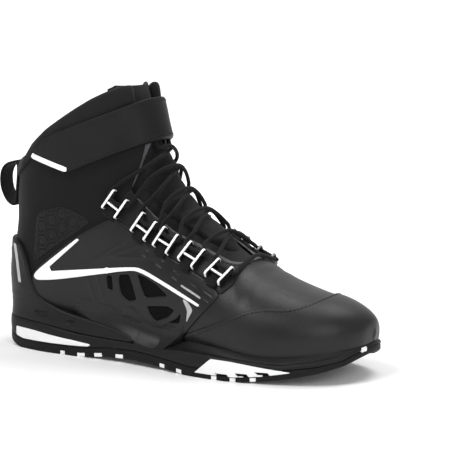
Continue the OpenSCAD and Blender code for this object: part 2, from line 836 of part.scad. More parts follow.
module lace_band() {
    color("#1d1d1f") boot() intersection() {
        patch(face_out, face_out + 0.8, 10.8, 13.2, 150, 210);
        prism([[70, 138], [110, 138], [110, 146], [70, 146]], -14, 14);
    }
}

// ---- Strap ----

module strap_base() {
    color("#29292b") boot() intersection() {
        patch(strap_in, strap_out, 12.6, LAST, 75, 210);
        prism(STRAP_BASE, fold_y, 80);
    }
}
ANCHOR = [[24, 140], [48, 148], [46, 170], [27, 163], [20, 159]];
module strap_anchor() {
    color("#232325") boot() intersection() {
        patch(0, strap_in, 14.4, 17.4, 75, 150);
        medial(ANCHOR);
    }
}
module strap_flap() {
    color("#29292b") boot() intersection() {
        patch(strap_in, strap_out, 12.6, LAST, 180, 315);
        prism(STRAP, -80, fold_y - fold_gap);
    }
}
module strap_hook() {
    color("#202022") boot() intersection() {
        patch(hook_in, strap_in, 14.4, 17.4, 225, 315);
        lateral(PATCH);
    }
}
module strap_loop() {
    color("#202022") boot() intersection() {
        patch(0, 1, 14.4, 17.4, 225, 315);
        lateral(PATCH);
    }
}
module strap_chip() {
    color("white") boot() intersection() {
        patch(strap_out, strap_out + 0.8, 14.4, LAST, 225, 315);
        lateral([[-5, 148.3], [26, 137.3], [27, 141], [-3, 151.6]]);
    }
}
module strap_badge() {
    color("white") boot() intersection() {
        patch(strap_out, strap_out + 0.6, 13.8, 17.4, 75, 165);
        for (k = [0 : 2])
            medial([
                [40 + 9 * k, 149 + 3.2 * k], [45 + 9 * k, 150.8 + 3.2 * k],
                [53 + 9 * k, 171 + 3.4 * k], [48 + 9 * k, 169.2 + 3.4 * k]
            ]);
    }
}

// ---- Pull loop ----

LOOP_STEPS = 4;
function loop_edge(shrink) = [for (i = [0 : len(LOOP) * LOOP_STEPS - 1])
    let (
        n = len(LOOP), j = floor(i / LOOP_STEPS), t = i / LOOP_STEPS - j,
        p = [for (k = [0 : 1]) smooth(LOOP[(j + n - 1) % n][k], LOOP[j][k],
            LOOP[(j + 1) % n][k], LOOP[(j + 2) % n][k], t)],
        q = [for (k = [0 : 1]) smooth(LOOP[(j + n - 1) % n][k], LOOP[j][k],
            LOOP[(j + 1) % n][k], LOOP[(j + 2) % n][k], t + 0.05)],
        w = unit(q - p)
    )
    p + shrink * [w[1], -w[0]]];
module pull_loop() {
    color("#1b1b1d") boot() difference() {
        prism(loop_edge(0), -loop_w / 2, loop_w / 2);
        prism(loop_edge(-loop_t), -loop_w, loop_w);
    }
}

outsole();
tread_lugs();
tread_chips();
midsole();
heel_insert();
forefoot_insert();
toe_insert();
shank();
insole_board();
footbed();
vamp();
toe_cap();
toe_puff();
quarter_lateral();
quarter_medial();
heel_counter();
padding();
ankle_cups();
vamp_lining();
quarter_lining();
collar();
backstay();
heel_cup();
heel_reflector();
side_panel_lateral();
side_panel_medial();
vent_mesh();
stripe();
panel_reflectors();
ankle_guard();
eyestay_lateral();
eyestay_medial();
keeper_tabs();
keepers_lateral();
keepers_medial();
lace();
aglets();
tongue();
tongue_face();
lace_band();
strap_base();
strap_anchor();
strap_flap();
strap_hook();
strap_loop();
strap_chip();
strap_badge();
pull_loop();
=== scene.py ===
"""Looks of the lace-up riding boot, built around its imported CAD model.

Lengths are in millimetres until a mesh is made.
"""

import json
import math

import bpy
import numpy as np
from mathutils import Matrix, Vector

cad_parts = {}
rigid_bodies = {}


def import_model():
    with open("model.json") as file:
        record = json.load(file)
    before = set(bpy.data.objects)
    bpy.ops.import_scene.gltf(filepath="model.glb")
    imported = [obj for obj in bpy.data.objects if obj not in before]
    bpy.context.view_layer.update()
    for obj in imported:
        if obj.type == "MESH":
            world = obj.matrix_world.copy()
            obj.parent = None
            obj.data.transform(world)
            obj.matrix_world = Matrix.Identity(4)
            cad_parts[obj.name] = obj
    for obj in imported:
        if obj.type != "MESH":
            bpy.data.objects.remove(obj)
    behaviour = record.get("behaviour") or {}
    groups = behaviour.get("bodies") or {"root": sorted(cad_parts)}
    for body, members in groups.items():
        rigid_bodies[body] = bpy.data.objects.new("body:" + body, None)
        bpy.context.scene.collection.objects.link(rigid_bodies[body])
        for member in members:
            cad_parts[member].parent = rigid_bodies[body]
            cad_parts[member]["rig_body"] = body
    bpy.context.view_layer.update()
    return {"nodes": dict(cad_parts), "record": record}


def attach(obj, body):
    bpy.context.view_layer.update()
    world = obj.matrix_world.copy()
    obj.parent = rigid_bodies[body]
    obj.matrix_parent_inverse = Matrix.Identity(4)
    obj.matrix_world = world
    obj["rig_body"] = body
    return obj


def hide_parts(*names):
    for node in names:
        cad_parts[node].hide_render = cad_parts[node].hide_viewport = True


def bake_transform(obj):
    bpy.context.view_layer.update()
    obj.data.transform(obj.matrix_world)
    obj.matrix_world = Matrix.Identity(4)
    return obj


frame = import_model()

MM = 0.001

# ---- Camera ----

TARGET = Vector((0.100, 0.0, 0.090))
AZIMUTH, ELEVATION, DISTANCE = math.radians(30), math.radians(9), 1.5


def make_camera():
    data = bpy.data.cameras.new("camera")
    camera = bpy.data.objects.new("camera", data)
    bpy.context.scene.collection.objects.link(camera)
    back = Vector((math.sin(AZIMUTH) * math.cos(ELEVATION), -math.cos(AZIMUTH) * math.cos(ELEVATION),
                   math.sin(ELEVATION)))
    camera.location = TARGET + DISTANCE * back
    camera.rotation_mode = "QUATERNION"
    camera.rotation_quaternion = (-back).to_track_quat("-Z", "Y")
    data.lens, data.sensor_width = 163.2, 36
    data.shift_x, data.shift_y = 0.0956, 0.0267
    data.clip_start, data.clip_end = 0.1, 20
    bpy.context.scene.camera = camera


make_camera()

# ---- Outlines, the same as the CAD model's ----

# Sections of the upper from the toe to the top of the shaft: low x, z, high x, z, lateral and
# medial half width, middle y, place of the widest point, squareness below and above it
STATIONS = [
    [251, 28, 252, 34, 2, 2, 8, 0.42, 2.4, 2.2],
    [249, 22, 250, 42, 15, 13, 7, 0.42, 2.6, 2.2],
    [242, 17, 242, 49, 27, 23, 5, 0.40, 2.9, 2.2],
    [229, 14, 228, 55, 37, 33, 3, 0.38, 3.1, 2.2],
    [210, 12, 207, 60, 45, 40, 1, 0.36, 3.3, 2.2],
    [185, 11, 181, 69, 50, 45, -1, 0.34, 3.3, 2.2],
    [158, 12, 155, 83, 49, 45, -1, 0.33, 3.1, 2.2],
    [130, 15, 133, 98, 45, 42, 0, 0.33, 3.1, 2.2],
    [100, 18, 114, 112, 41, 38, 1, 0.35, 3.3, 2.2],
    [66, 21, 102, 124, 38, 35, 2, 0.38, 3.5, 2.2],
    [30, 22, 95, 135, 37, 34, 2, 0.42, 3.7, 2.2],
    [-8, 22, 91, 146, 36, 34, 1, 0.45, 3.7, 2.2],
    [-33, 26, 87, 155, 35, 34, 0, 0.48, 3.2, 2.2],
    [-42, 46, 84, 164, 36, 35, 0, 0.53, 2.4, 2.2],
    [-41, 68, 81, 173, 37, 36, 0, 0.53, 2.4, 2.2],
    [-38, 92, 78, 182, 38, 38, 0, 0.53, 2.3, 2.2],
    [-37, 114, 75, 191, 39, 39, 0, 0.53, 2.3, 2.2],
    [-34, 132, 72, 200, 40, 40, 0, 0.53, 2.3, 2.2],
    [-28, 150, 69, 209, 41, 41, 0, 0.53, 2.3, 2.2],
]
SOLE_PLAN = [
    [-44, -6, 6], [-41, -17, 17], [-32, -27, 27], [-16, -33, 33], [5, -37, 35], [35, -38, 33],
    [70, -41, 32], [100, -46, 34], [130, -52, 40], [158, -55, 46], [185, -53, 50],
    [210, -47, 48], [230, -38, 42], [244, -25, 32], [250, -12, 24], [253, 4, 12],
]
GROUND = [
    [-46, 12], [-42, 7], [-34, 3], [-24, 0], [34, 0], [60, 3], [85, 4], [110, 2.5], [134, 0],
    [172, 0], [192, 2], [212, 5], [230, 9], [244, 13.5], [250, 18], [256, 22],
]
SOLE_TOP = [
    [-46, 24], [-38, 23], [2, 21], [31, 17], [61, 16], [84, 16], [103, 15], [125, 17], [152, 17],
    [180, 15.5], [206, 14], [226, 17], [240, 20], [250, 25], [256, 28],
]
FEATHER = [
    [-60, 28], [-40, 28], [-20, 26], [70, 24], [100, 23], [130, 20], [160, 17], [200, 16],
    [225, 19], [245, 25], [264, 28],
]
SHAFT_TOP = [
    [-60, 141], [-30, 143], [-15, 147], [-6, 158], [8, 169], [27, 181], [45, 192], [62, 201],
    [90, 206],
]
COLLAR_LOW = [
    [-60, 128], [-30, 129], [-8, 146], [10, 158], [27, 166], [52, 177], [70, 187], [90, 192],
]
THROAT = [
    [66, 216], [70, 193], [76, 177], [80, 160], [76, 140], [71, 125], [91, 108], [108, 98],
    [129, 90], [152, 79], [161, 77],
]
THROAT_FRONT = [[210, 120], [150, 216]]
PANEL = [
    [-12, 58], [13, 78], [34, 92], [49, 100], [60, 105], [64, 105], [79, 96], [99, 86], [121, 77],
    [142, 69], [152, 63], [157, 59], [150, 51], [137, 38], [126, 27], [122, 20], [84, 20],
    [60, 26], [30, 30], [12, 34], [-4, 41], [-8, 47],
]
CUP = [
    [-60, 84], [-25, 83], [-17, 71], [-12, 58], [-8, 47], [-4, 41], [12, 34], [30, 30],
    [60, 26], [84, 20], [84, 16], [61, 16], [31, 17], [2, 21], [-38, 23], [-46, 24], [-60, 24],
]
STRIPE = [
    [33.5, 87.5], [31.5, 88.5], [6.5, 70], [-8, 59], [-6.5, 55.5], [-2.5, 54.6], [16, 57], [43, 62.3],
    [77.5, 69], [86, 68.6], [103.5, 62.8], [122, 56], [140.4, 49.8], [142, 51], [124, 57.9], [105, 65],
    [87.5, 71], [80, 71.6], [43, 66.8], [8.5, 62.4], [7, 65.5], [22.5, 78.3],
]
TOE_SEAM = [
    [122, 20], [126, 27], [142, 34], [157, 40], [170, 46], [182, 51], [193, 52], [207, 51],
    [221, 56], [230, 66], [270, 66], [270, 0], [122, 0],
]
GUARD = [[-10, 66], [-4, 106], [18, 112], [44, 102], [34, 95], [12, 81]]
STRAP = [
    [-5, 148], [26, 137], [51, 147], [87, 161], [106, 168], [96, 200], [77, 191], [52, 179],
    [10, 164],
]
STRAP_BASE = [
    [24, 138], [51, 147], [87, 161], [106, 168], [96, 200], [77, 191], [52, 179], [18, 167],
]
PATCH = [[2, 148], [27, 140], [50, 149], [48, 169], [27, 161], [10, 154]]
ANCHOR = [[24, 140], [48, 148], [46, 170], [27, 163], [20, 159]]
LOOP = [
    [-39.5, 137], [-47, 138], [-54, 134], [-57, 126], [-56, 116], [-51, 107], [-45, 104],
    [-41.5, 107], [-40.5, 116],
]
REFLECTOR = [[-30, 79], [-26.5, 79], [-20.5, 50], [-24, 50]]
HEEL_WEDGE = [
    [-28, 9], [-28, 16], [-8, 15.5], [16, 13], [45, 10.5], [42, 8.6], [25, 7.8], [2, 7.6], [-20, 7.4],
]
FORE_WEDGE = [
    [141, 3.4], [155, 15], [170, 14.5], [185, 13], [198, 11.5], [214, 9.6], [206, 8], [192, 5.6], [172, 3.4],
]
TOE_WEDGE = [[243, 21], [260, 29], [260, 24], [246, 20]]
VAMP_REAR = [[162, 90], [158, 74], [126, 10]]
VENTS = [
    [[57, 63], [61.5, 63.5], [62.5, 53], [58, 53]],
    [[68, 64.5], [76.5, 65.5], [79.5, 58.5], [83.5, 48], [75.5, 46], [69.5, 51], [67.7, 59]],
    [[84, 66.5], [92, 64.5], [102, 60.5], [112, 54], [91.5, 50.5], [88, 57]],
    [[93.5, 44.4], [112.5, 46.5], [118.5, 44.5], [113, 39], [100.5, 34], [95.5, 39.3]],
    [[108, 31.8], [121.4, 39], [124.6, 43], [123.6, 37], [118.4, 32]],
]
TONGUE_BACK = [
    [54, 216], [58, 190], [63, 175], [66, 158], [62, 140], [58, 122], [82, 99], [104, 88],
    [127, 80], [150, 71], [163, 71],
]
TONGUE_FACE = [
    [72, 216], [76, 193], [82, 177], [86, 160], [82, 141], [80, 131], [95, 116], [111, 106], [132, 96],
    [151, 86],
    [156, 84],
]
FOOTBED_TOP = [[-60, 34], [0, 31], [70, 29], [110, 27], [150, 22], [200, 21], [264, 26]]
TONGUE_TOP = 204
KEEPERS = [[11.2, 119], [9.35, 122], [8.2, 126], [7.15, 131], [6.15, 135]]

# Offsets of the layers from the outside of the leather
LINING = -5
PANEL_OUT = 1.2
CUP_RISE = 2.5
TONGUE_OUT = -5.6
FACE_OUT = -1.5
STRAP_IN, STRAP_OUT = 2.2, 4.6

# ---- Curves and surfaces ----


def rows(table, u):
    """Rows of a table read smoothly at the places u."""
    table = np.asarray(table, float)
    u = np.clip(np.asarray(u, float), 0, len(table) - 1.000001)
    i = np.floor(u).astype(int)
    t = (u - i)[..., None]
    a, b, c, d = (table[np.clip(i + k, 0, len(table) - 1)] for k in (-1, 0, 1, 2))
    return 0.5 * (2 * b + (c - a) * t + (2 * a - 5 * b + 4 * c - d) * t * t
                  + (3 * b - a - 3 * c + d) * t ** 3)


def skin(u, s, d):
    """Points of the upper at station u and angle s (0 to 180 medial, 180 to 360 lateral), d out
    from the leather.
    Below station 0 the surface closes in a small dome over the tip of the toe."""
    u, s, d = np.broadcast_arrays(*(np.asarray(v, float) for v in (u, s, d)))
    r = rows(STATIONS, np.maximum(u, 0))
    lx, lz, hx, hz, wl, wm, cy, sc, nb, nt = np.moveaxis(r, -1, 0)
    s = s % 360
    side = np.where(s <= 180, 1.0, -1.0)
    a = np.radians(np.where(s <= 180, s, 360 - s))
    n = np.where(a <= math.pi / 2, nb, nt)
    c = np.abs(np.cos(a)) ** (2 / n)
    w = np.abs(np.sin(a)) ** (2 / n)
    t = np.where(a <= math.pi / 2, sc * (1 - c), sc + (1 - sc) * c)
    size = np.hypot(hx - lx, hz - lz)
    ax, az = (hx - lx) / size, (hz - lz) / size
    along = (size + 2 * d) * t - d
    width = np.maximum(np.where(side < 0, wl, wm) + d, 0.5)
    p = np.stack([lx + along * ax + d * np.clip(1 - u / 3, 0, 1), cy + side * width * w, lz + along * az], -1)
    tip = np.stack([lx + size / 2 * ax + d, cy, lz + size / 2 * az], -1)
    k = np.clip(1 + u, 0, 1)[..., None]
    dome = tip + (p - tip) * k + np.array([0.9, 0, 0]) * (1 - k * k)
    return np.where((u < 0)[..., None], dome, p)


def soft(points, cut=60, corners=(), tight=2.0, steps=6):
    """A closed outline with each corner cut off in a curve, by up to cut either side, or tight at
    the listed corners."""
    points = np.asarray(points, float)
    out = []
    for i, p in enumerate(points):
        a, b = points[i - 1], points[(i + 1) % len(points)]
        most = tight if i in corners else cut
        la, lb = np.linalg.norm(a - p), np.linalg.norm(b - p)
        start = p + (a - p) * min(most, 0.49 * la) / la
        end = p + (b - p) * min(most, 0.49 * lb) / lb
        out += [(1 - t) ** 2 * start + 2 * t * (1 - t) * p + t * t * end for t in np.linspace(0, 1, steps)]
    return np.array(out)


def inside(outline, x, z, reach=12.0):
    """Signed distance of points to a closed outline, above 0 inside, no finer than -reach far outside it."""
    shape = np.shape(x)
    px, pz = np.ravel(x).astype(float), np.ravel(z).astype(float)
    a = np.asarray(outline, float)
    b = np.roll(a, -1, 0)
    low, high = a.min(0) - reach, a.max(0) + reach
    near = np.where((px > low[0]) & (px < high[0]) & (pz > low[1]) & (pz < high[1]))[0]
    qx, qz = px[near], pz[near]
    best = np.full(len(near), 1e18)
    odd = np.zeros(len(near), bool)
    for (ax, az), (bx, bz) in zip(a, b):
        ex, ez = bx - ax, bz - az
        length2 = ex * ex + ez * ez
        if length2 < 1e-12:
            continue
        t = np.clip(((qx - ax) * ex + (qz - az) * ez) / length2, 0, 1)
        best = np.minimum(best, (qx - ax - t * ex) ** 2 + (qz - az - t * ez) ** 2)
        if az != bz:
            odd ^= ((az > qz) != (bz > qz)) & (qx < ax + ex * (qz - az) / (bz - az))
    out = np.full(len(px), -reach)
    out[near] = np.where(odd, 1, -1) * np.sqrt(best)
    return np.maximum(out, -reach).reshape(shape)


def over(line):
    return list(line) + [[300, 260], [-100, 260]]


def line_z(line, x):
    """Height of a side line at x."""
    line = np.asarray(line, float)
    return np.interp(x, line[:, 0], line[:, 1])


def smoothstep(a, b, x):
    t = np.clip((x - a) / (b - a), 0, 1)
    return t * t * (3 - 2 * t)


# ---- The sole's outline and the wall that rises from it ----


def spaced(line, step):
    """Points about step apart along an open line."""
    length = np.concatenate([[0], np.cumsum(np.linalg.norm(np.diff(line, axis=0), axis=1))])
    where = np.linspace(0, length[-1], int(length[-1] / step) + 1)
    return np.stack([np.interp(where, length, line[:, k]) for k in (0, 1)], 1)


def plan_ring():
    """The sole's outline as a closed ring of points 1 mm apart, from the back of the heel along the
    lateral side, with its outward directions."""
    edge = rows(SOLE_PLAN, np.linspace(0, len(SOLE_PLAN) - 1, 90))
    points = soft(np.concatenate([edge[:, :2], edge[::-1][:, [0, 2]]]), steps=4)
    ring = spaced(np.concatenate([points, points[:1]]), 1)[:-1]
    for _ in range(6):
        ring = (np.roll(ring, 1, 0) + 2 * ring + np.roll(ring, -1, 0)) / 4
    way = np.roll(ring, -1, 0) - np.roll(ring, 1, 0)
    way /= np.linalg.norm(way, axis=1)[:, None]
    out = np.stack([way[:, 1], -way[:, 0]], 1)
    return ring, out


RING, RING_OUT = plan_ring()
if np.mean(np.sum(RING_OUT * (RING - RING.mean(0)), 1)) < 0:
    RING_OUT = -RING_OUT
LEVELS = np.linspace(12, 92, 81)


def slice_at(z):
    """The upper's own outline at height z, seen from above."""
    r = rows(STATIONS, np.linspace(0.02, 17.9, 4000))
    lx, lz, hx, hz, wl, wm, cy, sc, nb, nt = r.T
    t = (z - lz) / (hz - lz)
    ok = (t > 0) & (t < 1)
    c = np.clip(np.where(t < sc, 1 - t / sc, (t - sc) / (1 - sc)), 0, 1)
    n = np.where(t < sc, nb, nt)
    w = (1 - c ** n) ** (1 / n)
    x = lx + t * (hx - lx)
    lateral = np.stack([x, cy - wl * w], 1)[ok]
    medial = np.stack([x, cy + wm * w], 1)[ok]
    return spaced(np.concatenate([lateral, medial[::-1]]), 1.5) if ok.any() else lateral


def room_table():
    """Distance from the sole's outline in to the upper, at each level and point of the ring."""
    table = []
    for z in LEVELS:
        outline = slice_at(z)
        table.append(-inside(outline, RING[:, 0], RING[:, 1], 40) if len(outline) > 8 else np.full(len(RING),
                                                                                                   40.0))
    return np.array(table)


ROOM = room_table()


def on_ring(a, values):
    """Values kept for the ring, read at places a along it."""
    a = np.mod(a, len(RING))
    i = np.floor(a).astype(int)
    t = a - i
    if values.ndim > 1:
        t = t[..., None]
    return values[i % len(RING)] * (1 - t) + values[(i + 1) % len(RING)] * t


def room(a, z):
    """Distance in from the sole's outline to the upper, at place a along the ring and height z."""
    a, z = np.broadcast_arrays(a, z)
    level = np.clip((z - LEVELS[0]) / (LEVELS[1] - LEVELS[0]), 0, len(LEVELS) - 1.001)
    i = np.floor(level).astype(int)
    t = level - i
    a = np.mod(a, len(RING))
    k = np.floor(a).astype(int)
    f = a - k
    k0, k1 = k % len(RING), (k + 1) % len(RING)
    low = ROOM[i, k0] * (1 - f) + ROOM[i, k1] * f
    high = ROOM[i + 1, k0] * (1 - f) + ROOM[i + 1, k1] * f
    return low * (1 - t) + high * t


def wall(a, z, off):
    """Point at place a along the sole's outline, height z, moved in by off."""
    a, z, off = np.broadcast_arrays(a, z, off)
    p = on_ring(a, RING) - on_ring(a, RING_OUT) * off[..., None]
    return np.stack([p[..., 0], p[..., 1], z], -1)


def ring_at(x, side):
    """Place along the ring of the point with that x on a side, -1 lateral and 1 medial."""
    where = np.where(RING[:, 1] * side > 0)[0]
    return float(where[np.argmin(np.abs(RING[where, 0] - x))])


# ---- Meshes ----


def add_mesh(name, points, faces, sharp=40):
    """A mesh object from points in millimetres."""
    mesh = bpy.data.meshes.new(name)
    mesh.from_pydata((np.asarray(points, float) * MM).tolist(), [], faces)
    mesh.validate()
    mesh.shade_smooth()
    mesh.set_sharp_from_angle(angle=math.radians(sharp))
    o = bpy.data.objects.new(name, mesh)
    bpy.context.scene.collection.objects.link(o)
    return o


def finish_piece(o, body, slot, material, *nodes):
    o.data.materials.clear()
    o.data.materials.append(material)
    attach(o, body)
    if nodes:
        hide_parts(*nodes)
    return o


def grid_faces(n, m, closed=False):
    i, j = np.meshgrid(np.arange(n - 1), np.arange(m if closed else m - 1), indexing="ij")
    a, b = i * m + j, i * m + (j + 1) % m
    return np.stack([a, b, b + m, a + m], -1).reshape(-1, 4)


def slope(surface, region, a, b):
    """Value of region on a surface, its change with a and b, and the surface's metric there."""
    ea, eb = 0.01, 0.05
    p0, pa, pb = surface(a, b, 0), surface(a + ea, b, 0), surface(a, b + eb, 0)
    f0, fa, fb = region(p0), region(pa), region(pb)
    ta, tb = (pa - p0) / ea, (pb - p0) / eb
    return f0, (fa - f0) / ea, (fb - f0) / eb, (ta * ta).sum(-1), (ta * tb).sum(-1), (tb * tb).sum(-1)


def uphill(fa, fb, e, f, g):
    """Direction of the steepest way up in the surface's own numbers, and the square of its steepness."""
    det = np.maximum(e * g - f * f, 1e-9)
    da, db = (g * fa - f * fb) / det, (e * fb - f * fa) / det
    return da, db, np.maximum(da * fa + db * fb, 1e-6)


def cut_grid(a, b, h):
    """The part of a grid where h is above 0: numbers a and b of its points, its faces, and its
    border edges."""
    n, m = h.shape
    keep = h > 0
    index = np.full((n, m), -1)
    index[keep] = np.arange(keep.sum())
    va, vb = [a[keep]], [b[keep]]
    count = int(keep.sum())

    def crossing(h0, h1, a0, a1, b0, b1):
        nonlocal count
        mixed = (h0 > 0) != (h1 > 0)
        t = h0[mixed] / (h0[mixed] - h1[mixed])
        ids = np.full(h0.shape, -1)
        ids[mixed] = count + np.arange(mixed.sum())
        va.append(a0[mixed] + t * (a1[mixed] - a0[mixed]))
        vb.append(b0[mixed] + t * (b1[mixed] - b0[mixed]))
        count += int(mixed.sum())
        return ids

    across = crossing(h[:, :-1], h[:, 1:], a[:, :-1], a[:, 1:], b[:, :-1], b[:, 1:])
    down = crossing(h[:-1], h[1:], a[:-1], a[1:], b[:-1], b[1:])
    total = keep[:-1, :-1].astype(int) + keep[:-1, 1:] + keep[1:, 1:] + keep[1:, :-1]
    i, j = np.where(total == 4)
    faces = np.stack([index[i, j], index[i, j + 1], index[i + 1, j + 1], index[i + 1, j]], 1).tolist()
    edges = []
    for i, j in zip(*np.where((total > 0) & (total < 4))):
        corners = [(index[i, j], across[i, j]), (index[i, j + 1], down[i, j + 1]),
                   (index[i + 1, j + 1], across[i + 1, j]), (index[i + 1, j], down[i, j])]
        loop = []
        for corner, edge in corners:
            if corner >= 0:
                loop.append((int(corner), False))
            if edge >= 0:
                loop.append((int(edge), True))
        if len(loop) > 2:
            faces.append([v for v, _ in loop])
            for (v, cut), (w, cut_w) in zip(loop, loop[1:] + loop[:1]):
                if cut and cut_w:
                    edges.append((v, w))
    return np.concatenate(va), np.concatenate(vb), faces, edges


def sheet(name, region, low, high, a_range, b_range, step, surface=skin, edge=0.8, relief=None, solid=False,
          sharp=40):
    """A layer on a surface where region is above 0, from offset low to offset high, with rounded edges.
    relief(points, distance from the edge) adds to its height, and solid closes it underneath."""
    a = np.arange(a_range[0], a_range[1] + step[0] / 2, step[0])
    b = np.arange(b_range[0], b_range[1] + step[1] / 2, step[1])
    a, b = np.meshgrid(a, b, indexing="ij")
    p = surface(a, b, 0)
    f = region(p)
    fa, fb = np.gradient(f, step[0], axis=0), np.gradient(f, step[1], axis=1)
    pa, pb = np.gradient(p, step[0], axis=0), np.gradient(p, step[1], axis=1)
    _, _, g2 = uphill(fa, fb, (pa * pa).sum(-1), (pa * pb).sum(-1), (pb * pb).sum(-1))
    steep = np.clip(np.sqrt(g2), 0.25, 1.5)
    va, vb, faces, edges = cut_grid(a, b, f / steep - edge)
    inner = sorted({v for pair in edges for v in pair})
    place = {v: k for k, v in enumerate(inner)}
    ba, bb = va[inner], vb[inner]
    f0, *_ = slope(surface, region, ba, bb)
    ratio = np.maximum(f0, 0) / max(edge, 1e-6)
    profile = np.radians([60, 30, 0]) if edge > 0.4 else np.radians([0])
    all_a, all_b = [va], [vb]
    heights = [np.full(len(va), float(high) - low)]
    distance = [np.full(len(va), 2.0 * edge)]
    count = len(va)
    previous = {v: v for v in inner}
    strips = []
    rise = high - low
    rounding = min(edge, 0.8 * rise)
    for phi in profile:
        target = edge * (1 - math.cos(phi)) * ratio
        for _ in range(3):
            f0, fa, fb, e, g_ab, g = slope(surface, region, ba, bb)
            da, db, steep2 = uphill(fa, fb, e, g_ab, g)
            move = np.clip((target - f0) / steep2, -3, 3)
            ba, bb = ba + move * da, bb + move * db
        all_a.append(ba.copy())
        all_b.append(bb.copy())
        heights.append(np.full(len(ba), rise - rounding + rounding * math.sin(phi)))
        distance.append(np.zeros(len(ba)))
        ids = {v: count + k for v, k in place.items()}
        strips += [[previous[w], previous[v], ids[v], ids[w]] for v, w in edges]
        previous, count = ids, count + len(ba)
    all_a.append(ba.copy())
    all_b.append(bb.copy())
    heights.append(np.zeros(len(ba)))
    distance.append(np.zeros(len(ba)))
    ids = {v: count + k for v, k in place.items()}
    strips += [[previous[w], previous[v], ids[v], ids[w]] for v, w in edges]
    count += len(ba)
    all_a, all_b = np.concatenate(all_a), np.concatenate(all_b)
    heights, distance = np.concatenate(heights), np.concatenate(distance)
    if relief is not None:
        flat = surface(all_a, all_b, 0)
        f0 = np.maximum(region(flat), 0)
        heights = np.where(heights > 0, heights + relief(flat, f0) * (distance > 0) * smoothstep(0, 2, f0),
                           heights)
    points = surface(all_a, all_b, low + heights)
    top = [list(face) for face in faces]
    if solid:
        under = surface(va, vb, low)
        points = np.concatenate([points, under])
        outer = {ids[v]: count + v for v in inner}
        faces = faces + [[count + v for v in face[::-1]] for face in top]
        strips += [[ids[w], ids[v], outer[ids[v]], outer[ids[w]]] for v, w in edges]
    faces = faces + strips
    quads = np.array([face for face in top if len(face) == 4][:: max(1, len(top) // 400)])
    out = surface(all_a[quads[:, 0]], all_b[quads[:, 0]], low + 1) - surface(all_a[quads[:, 0]],
                                                                             all_b[quads[:, 0]], low)
    normal = np.cross(points[quads[:, 2]] - points[quads[:, 0]], points[quads[:, 3]] - points[quads[:, 1]])
    if np.mean(np.sign((out * normal).sum(-1))) < 0:
        faces = [face[::-1] for face in faces]
    return add_mesh(name, points, faces, sharp)


def chains(edges):
    """Edges joined end to end into paths."""
    after = {}
    for v, w in edges:
        after.setdefault(v, []).append(w)
        after.setdefault(w, []).append(v)
    used, out = set(), []
    for start in sorted(after, key=lambda v: (len(after[v]) != 1, v)):
        if start in used:
            continue
        path, here = [start], start
        used.add(start)
        while True:
            ahead = [w for w in after[here] if w not in used]
            if not ahead:
                break
            here = ahead[0]
            used.add(here)
            path.append(here)
        if len(path) > 4:
            if start in after[path[-1]] and len(after[start]) == 2:
                path.append(start)
            out.append(path)
    return out


STITCH_PITCH, STITCH_LENGTH, STITCH_R = 3.0, 2.3, 0.32


def along_line(points, length, at):
    """Points of a line at the given distances along it, where length is that of each known point."""
    return np.stack([np.interp(at, length, points[:, k]) for k in range(3)], 1)


def stitch_line(region, inset, height, a_range, b_range, step, surface=skin, where=None):
    """Places and directions of stitches along the line inset from a region's edge."""
    a = np.arange(a_range[0], a_range[1], step[0])
    b = np.arange(b_range[0], b_range[1], step[1])
    a, b = np.meshgrid(a, b, indexing="ij")
    p = surface(a, b, 0)
    f = region(p)
    fa, fb = np.gradient(f, step[0], axis=0), np.gradient(f, step[1], axis=1)
    pa, pb = np.gradient(p, step[0], axis=0), np.gradient(p, step[1], axis=1)
    _, _, g2 = uphill(fa, fb, (pa * pa).sum(-1), (pa * pb).sum(-1), (pb * pb).sum(-1))
    va, vb, _, edges = cut_grid(a, b, f / np.clip(np.sqrt(g2), 0.25, 1.5) - inset)
    found = []
    for path in chains(edges):
        points, under = surface(va[path], vb[path], height), surface(va[path], vb[path], height - 1)
        length = np.concatenate([[0], np.cumsum(np.linalg.norm(np.diff(points, axis=0), axis=1))])
        if length[-1] < 2 * STITCH_PITCH:
            continue
        at = np.arange(STITCH_PITCH / 2, length[-1] - STITCH_PITCH / 2, STITCH_PITCH)
        middle = along_line(points, length, at)
        way = (along_line(points, length, at + STITCH_LENGTH / 2)
               - along_line(points, length, at - STITCH_LENGTH / 2))
        up = middle - along_line(under, length, at)
        ok = np.ones(len(at), bool) if where is None else where(middle)
        found.append((middle[ok], way[ok], up[ok]))
    return found


def stitches(name, lines, material, body="boot", slot="webbing"):
    """All the stitches of some lines, each a short thread that dips in at its ends."""
    points, faces, count = [], [], 0
    profile = [(-0.5, 0.35, -0.25), (-0.3, 0.9, 0.0), (0.3, 0.9, 0.0), (0.5, 0.35, -0.25)]
    sides = 6
    for middle, way, up in lines:
        for m, w, n in zip(middle, way, up):
            length = np.linalg.norm(w)
            if length < 0.5:
                continue
            w = w / length
            n = n - (n @ w) * w
            n /= max(np.linalg.norm(n), 1e-6)
            s = np.cross(w, n)
            for t, r, lift in profile:
                for k in range(sides):
                    c = 2 * math.pi * k / sides
                    points.append(m + w * t * STITCH_LENGTH
                                  + STITCH_R * (r * (math.cos(c) * s * 1.2 + math.sin(c) * n) + lift * n))
            for i in range(3):
                for k in range(sides):
                    q = count + i * sides
                    faces.append([q + k, q + (k + 1) % sides, q + sides + (k + 1) % sides, q + sides + k])
            faces.append([count + k for k in range(sides)][::-1])
            faces.append([count + 3 * sides + k for k in range(sides)])
            count += 4 * sides
    return finish_piece(add_mesh(name, points, faces, 80), body, slot, material)


# ---- Materials ----


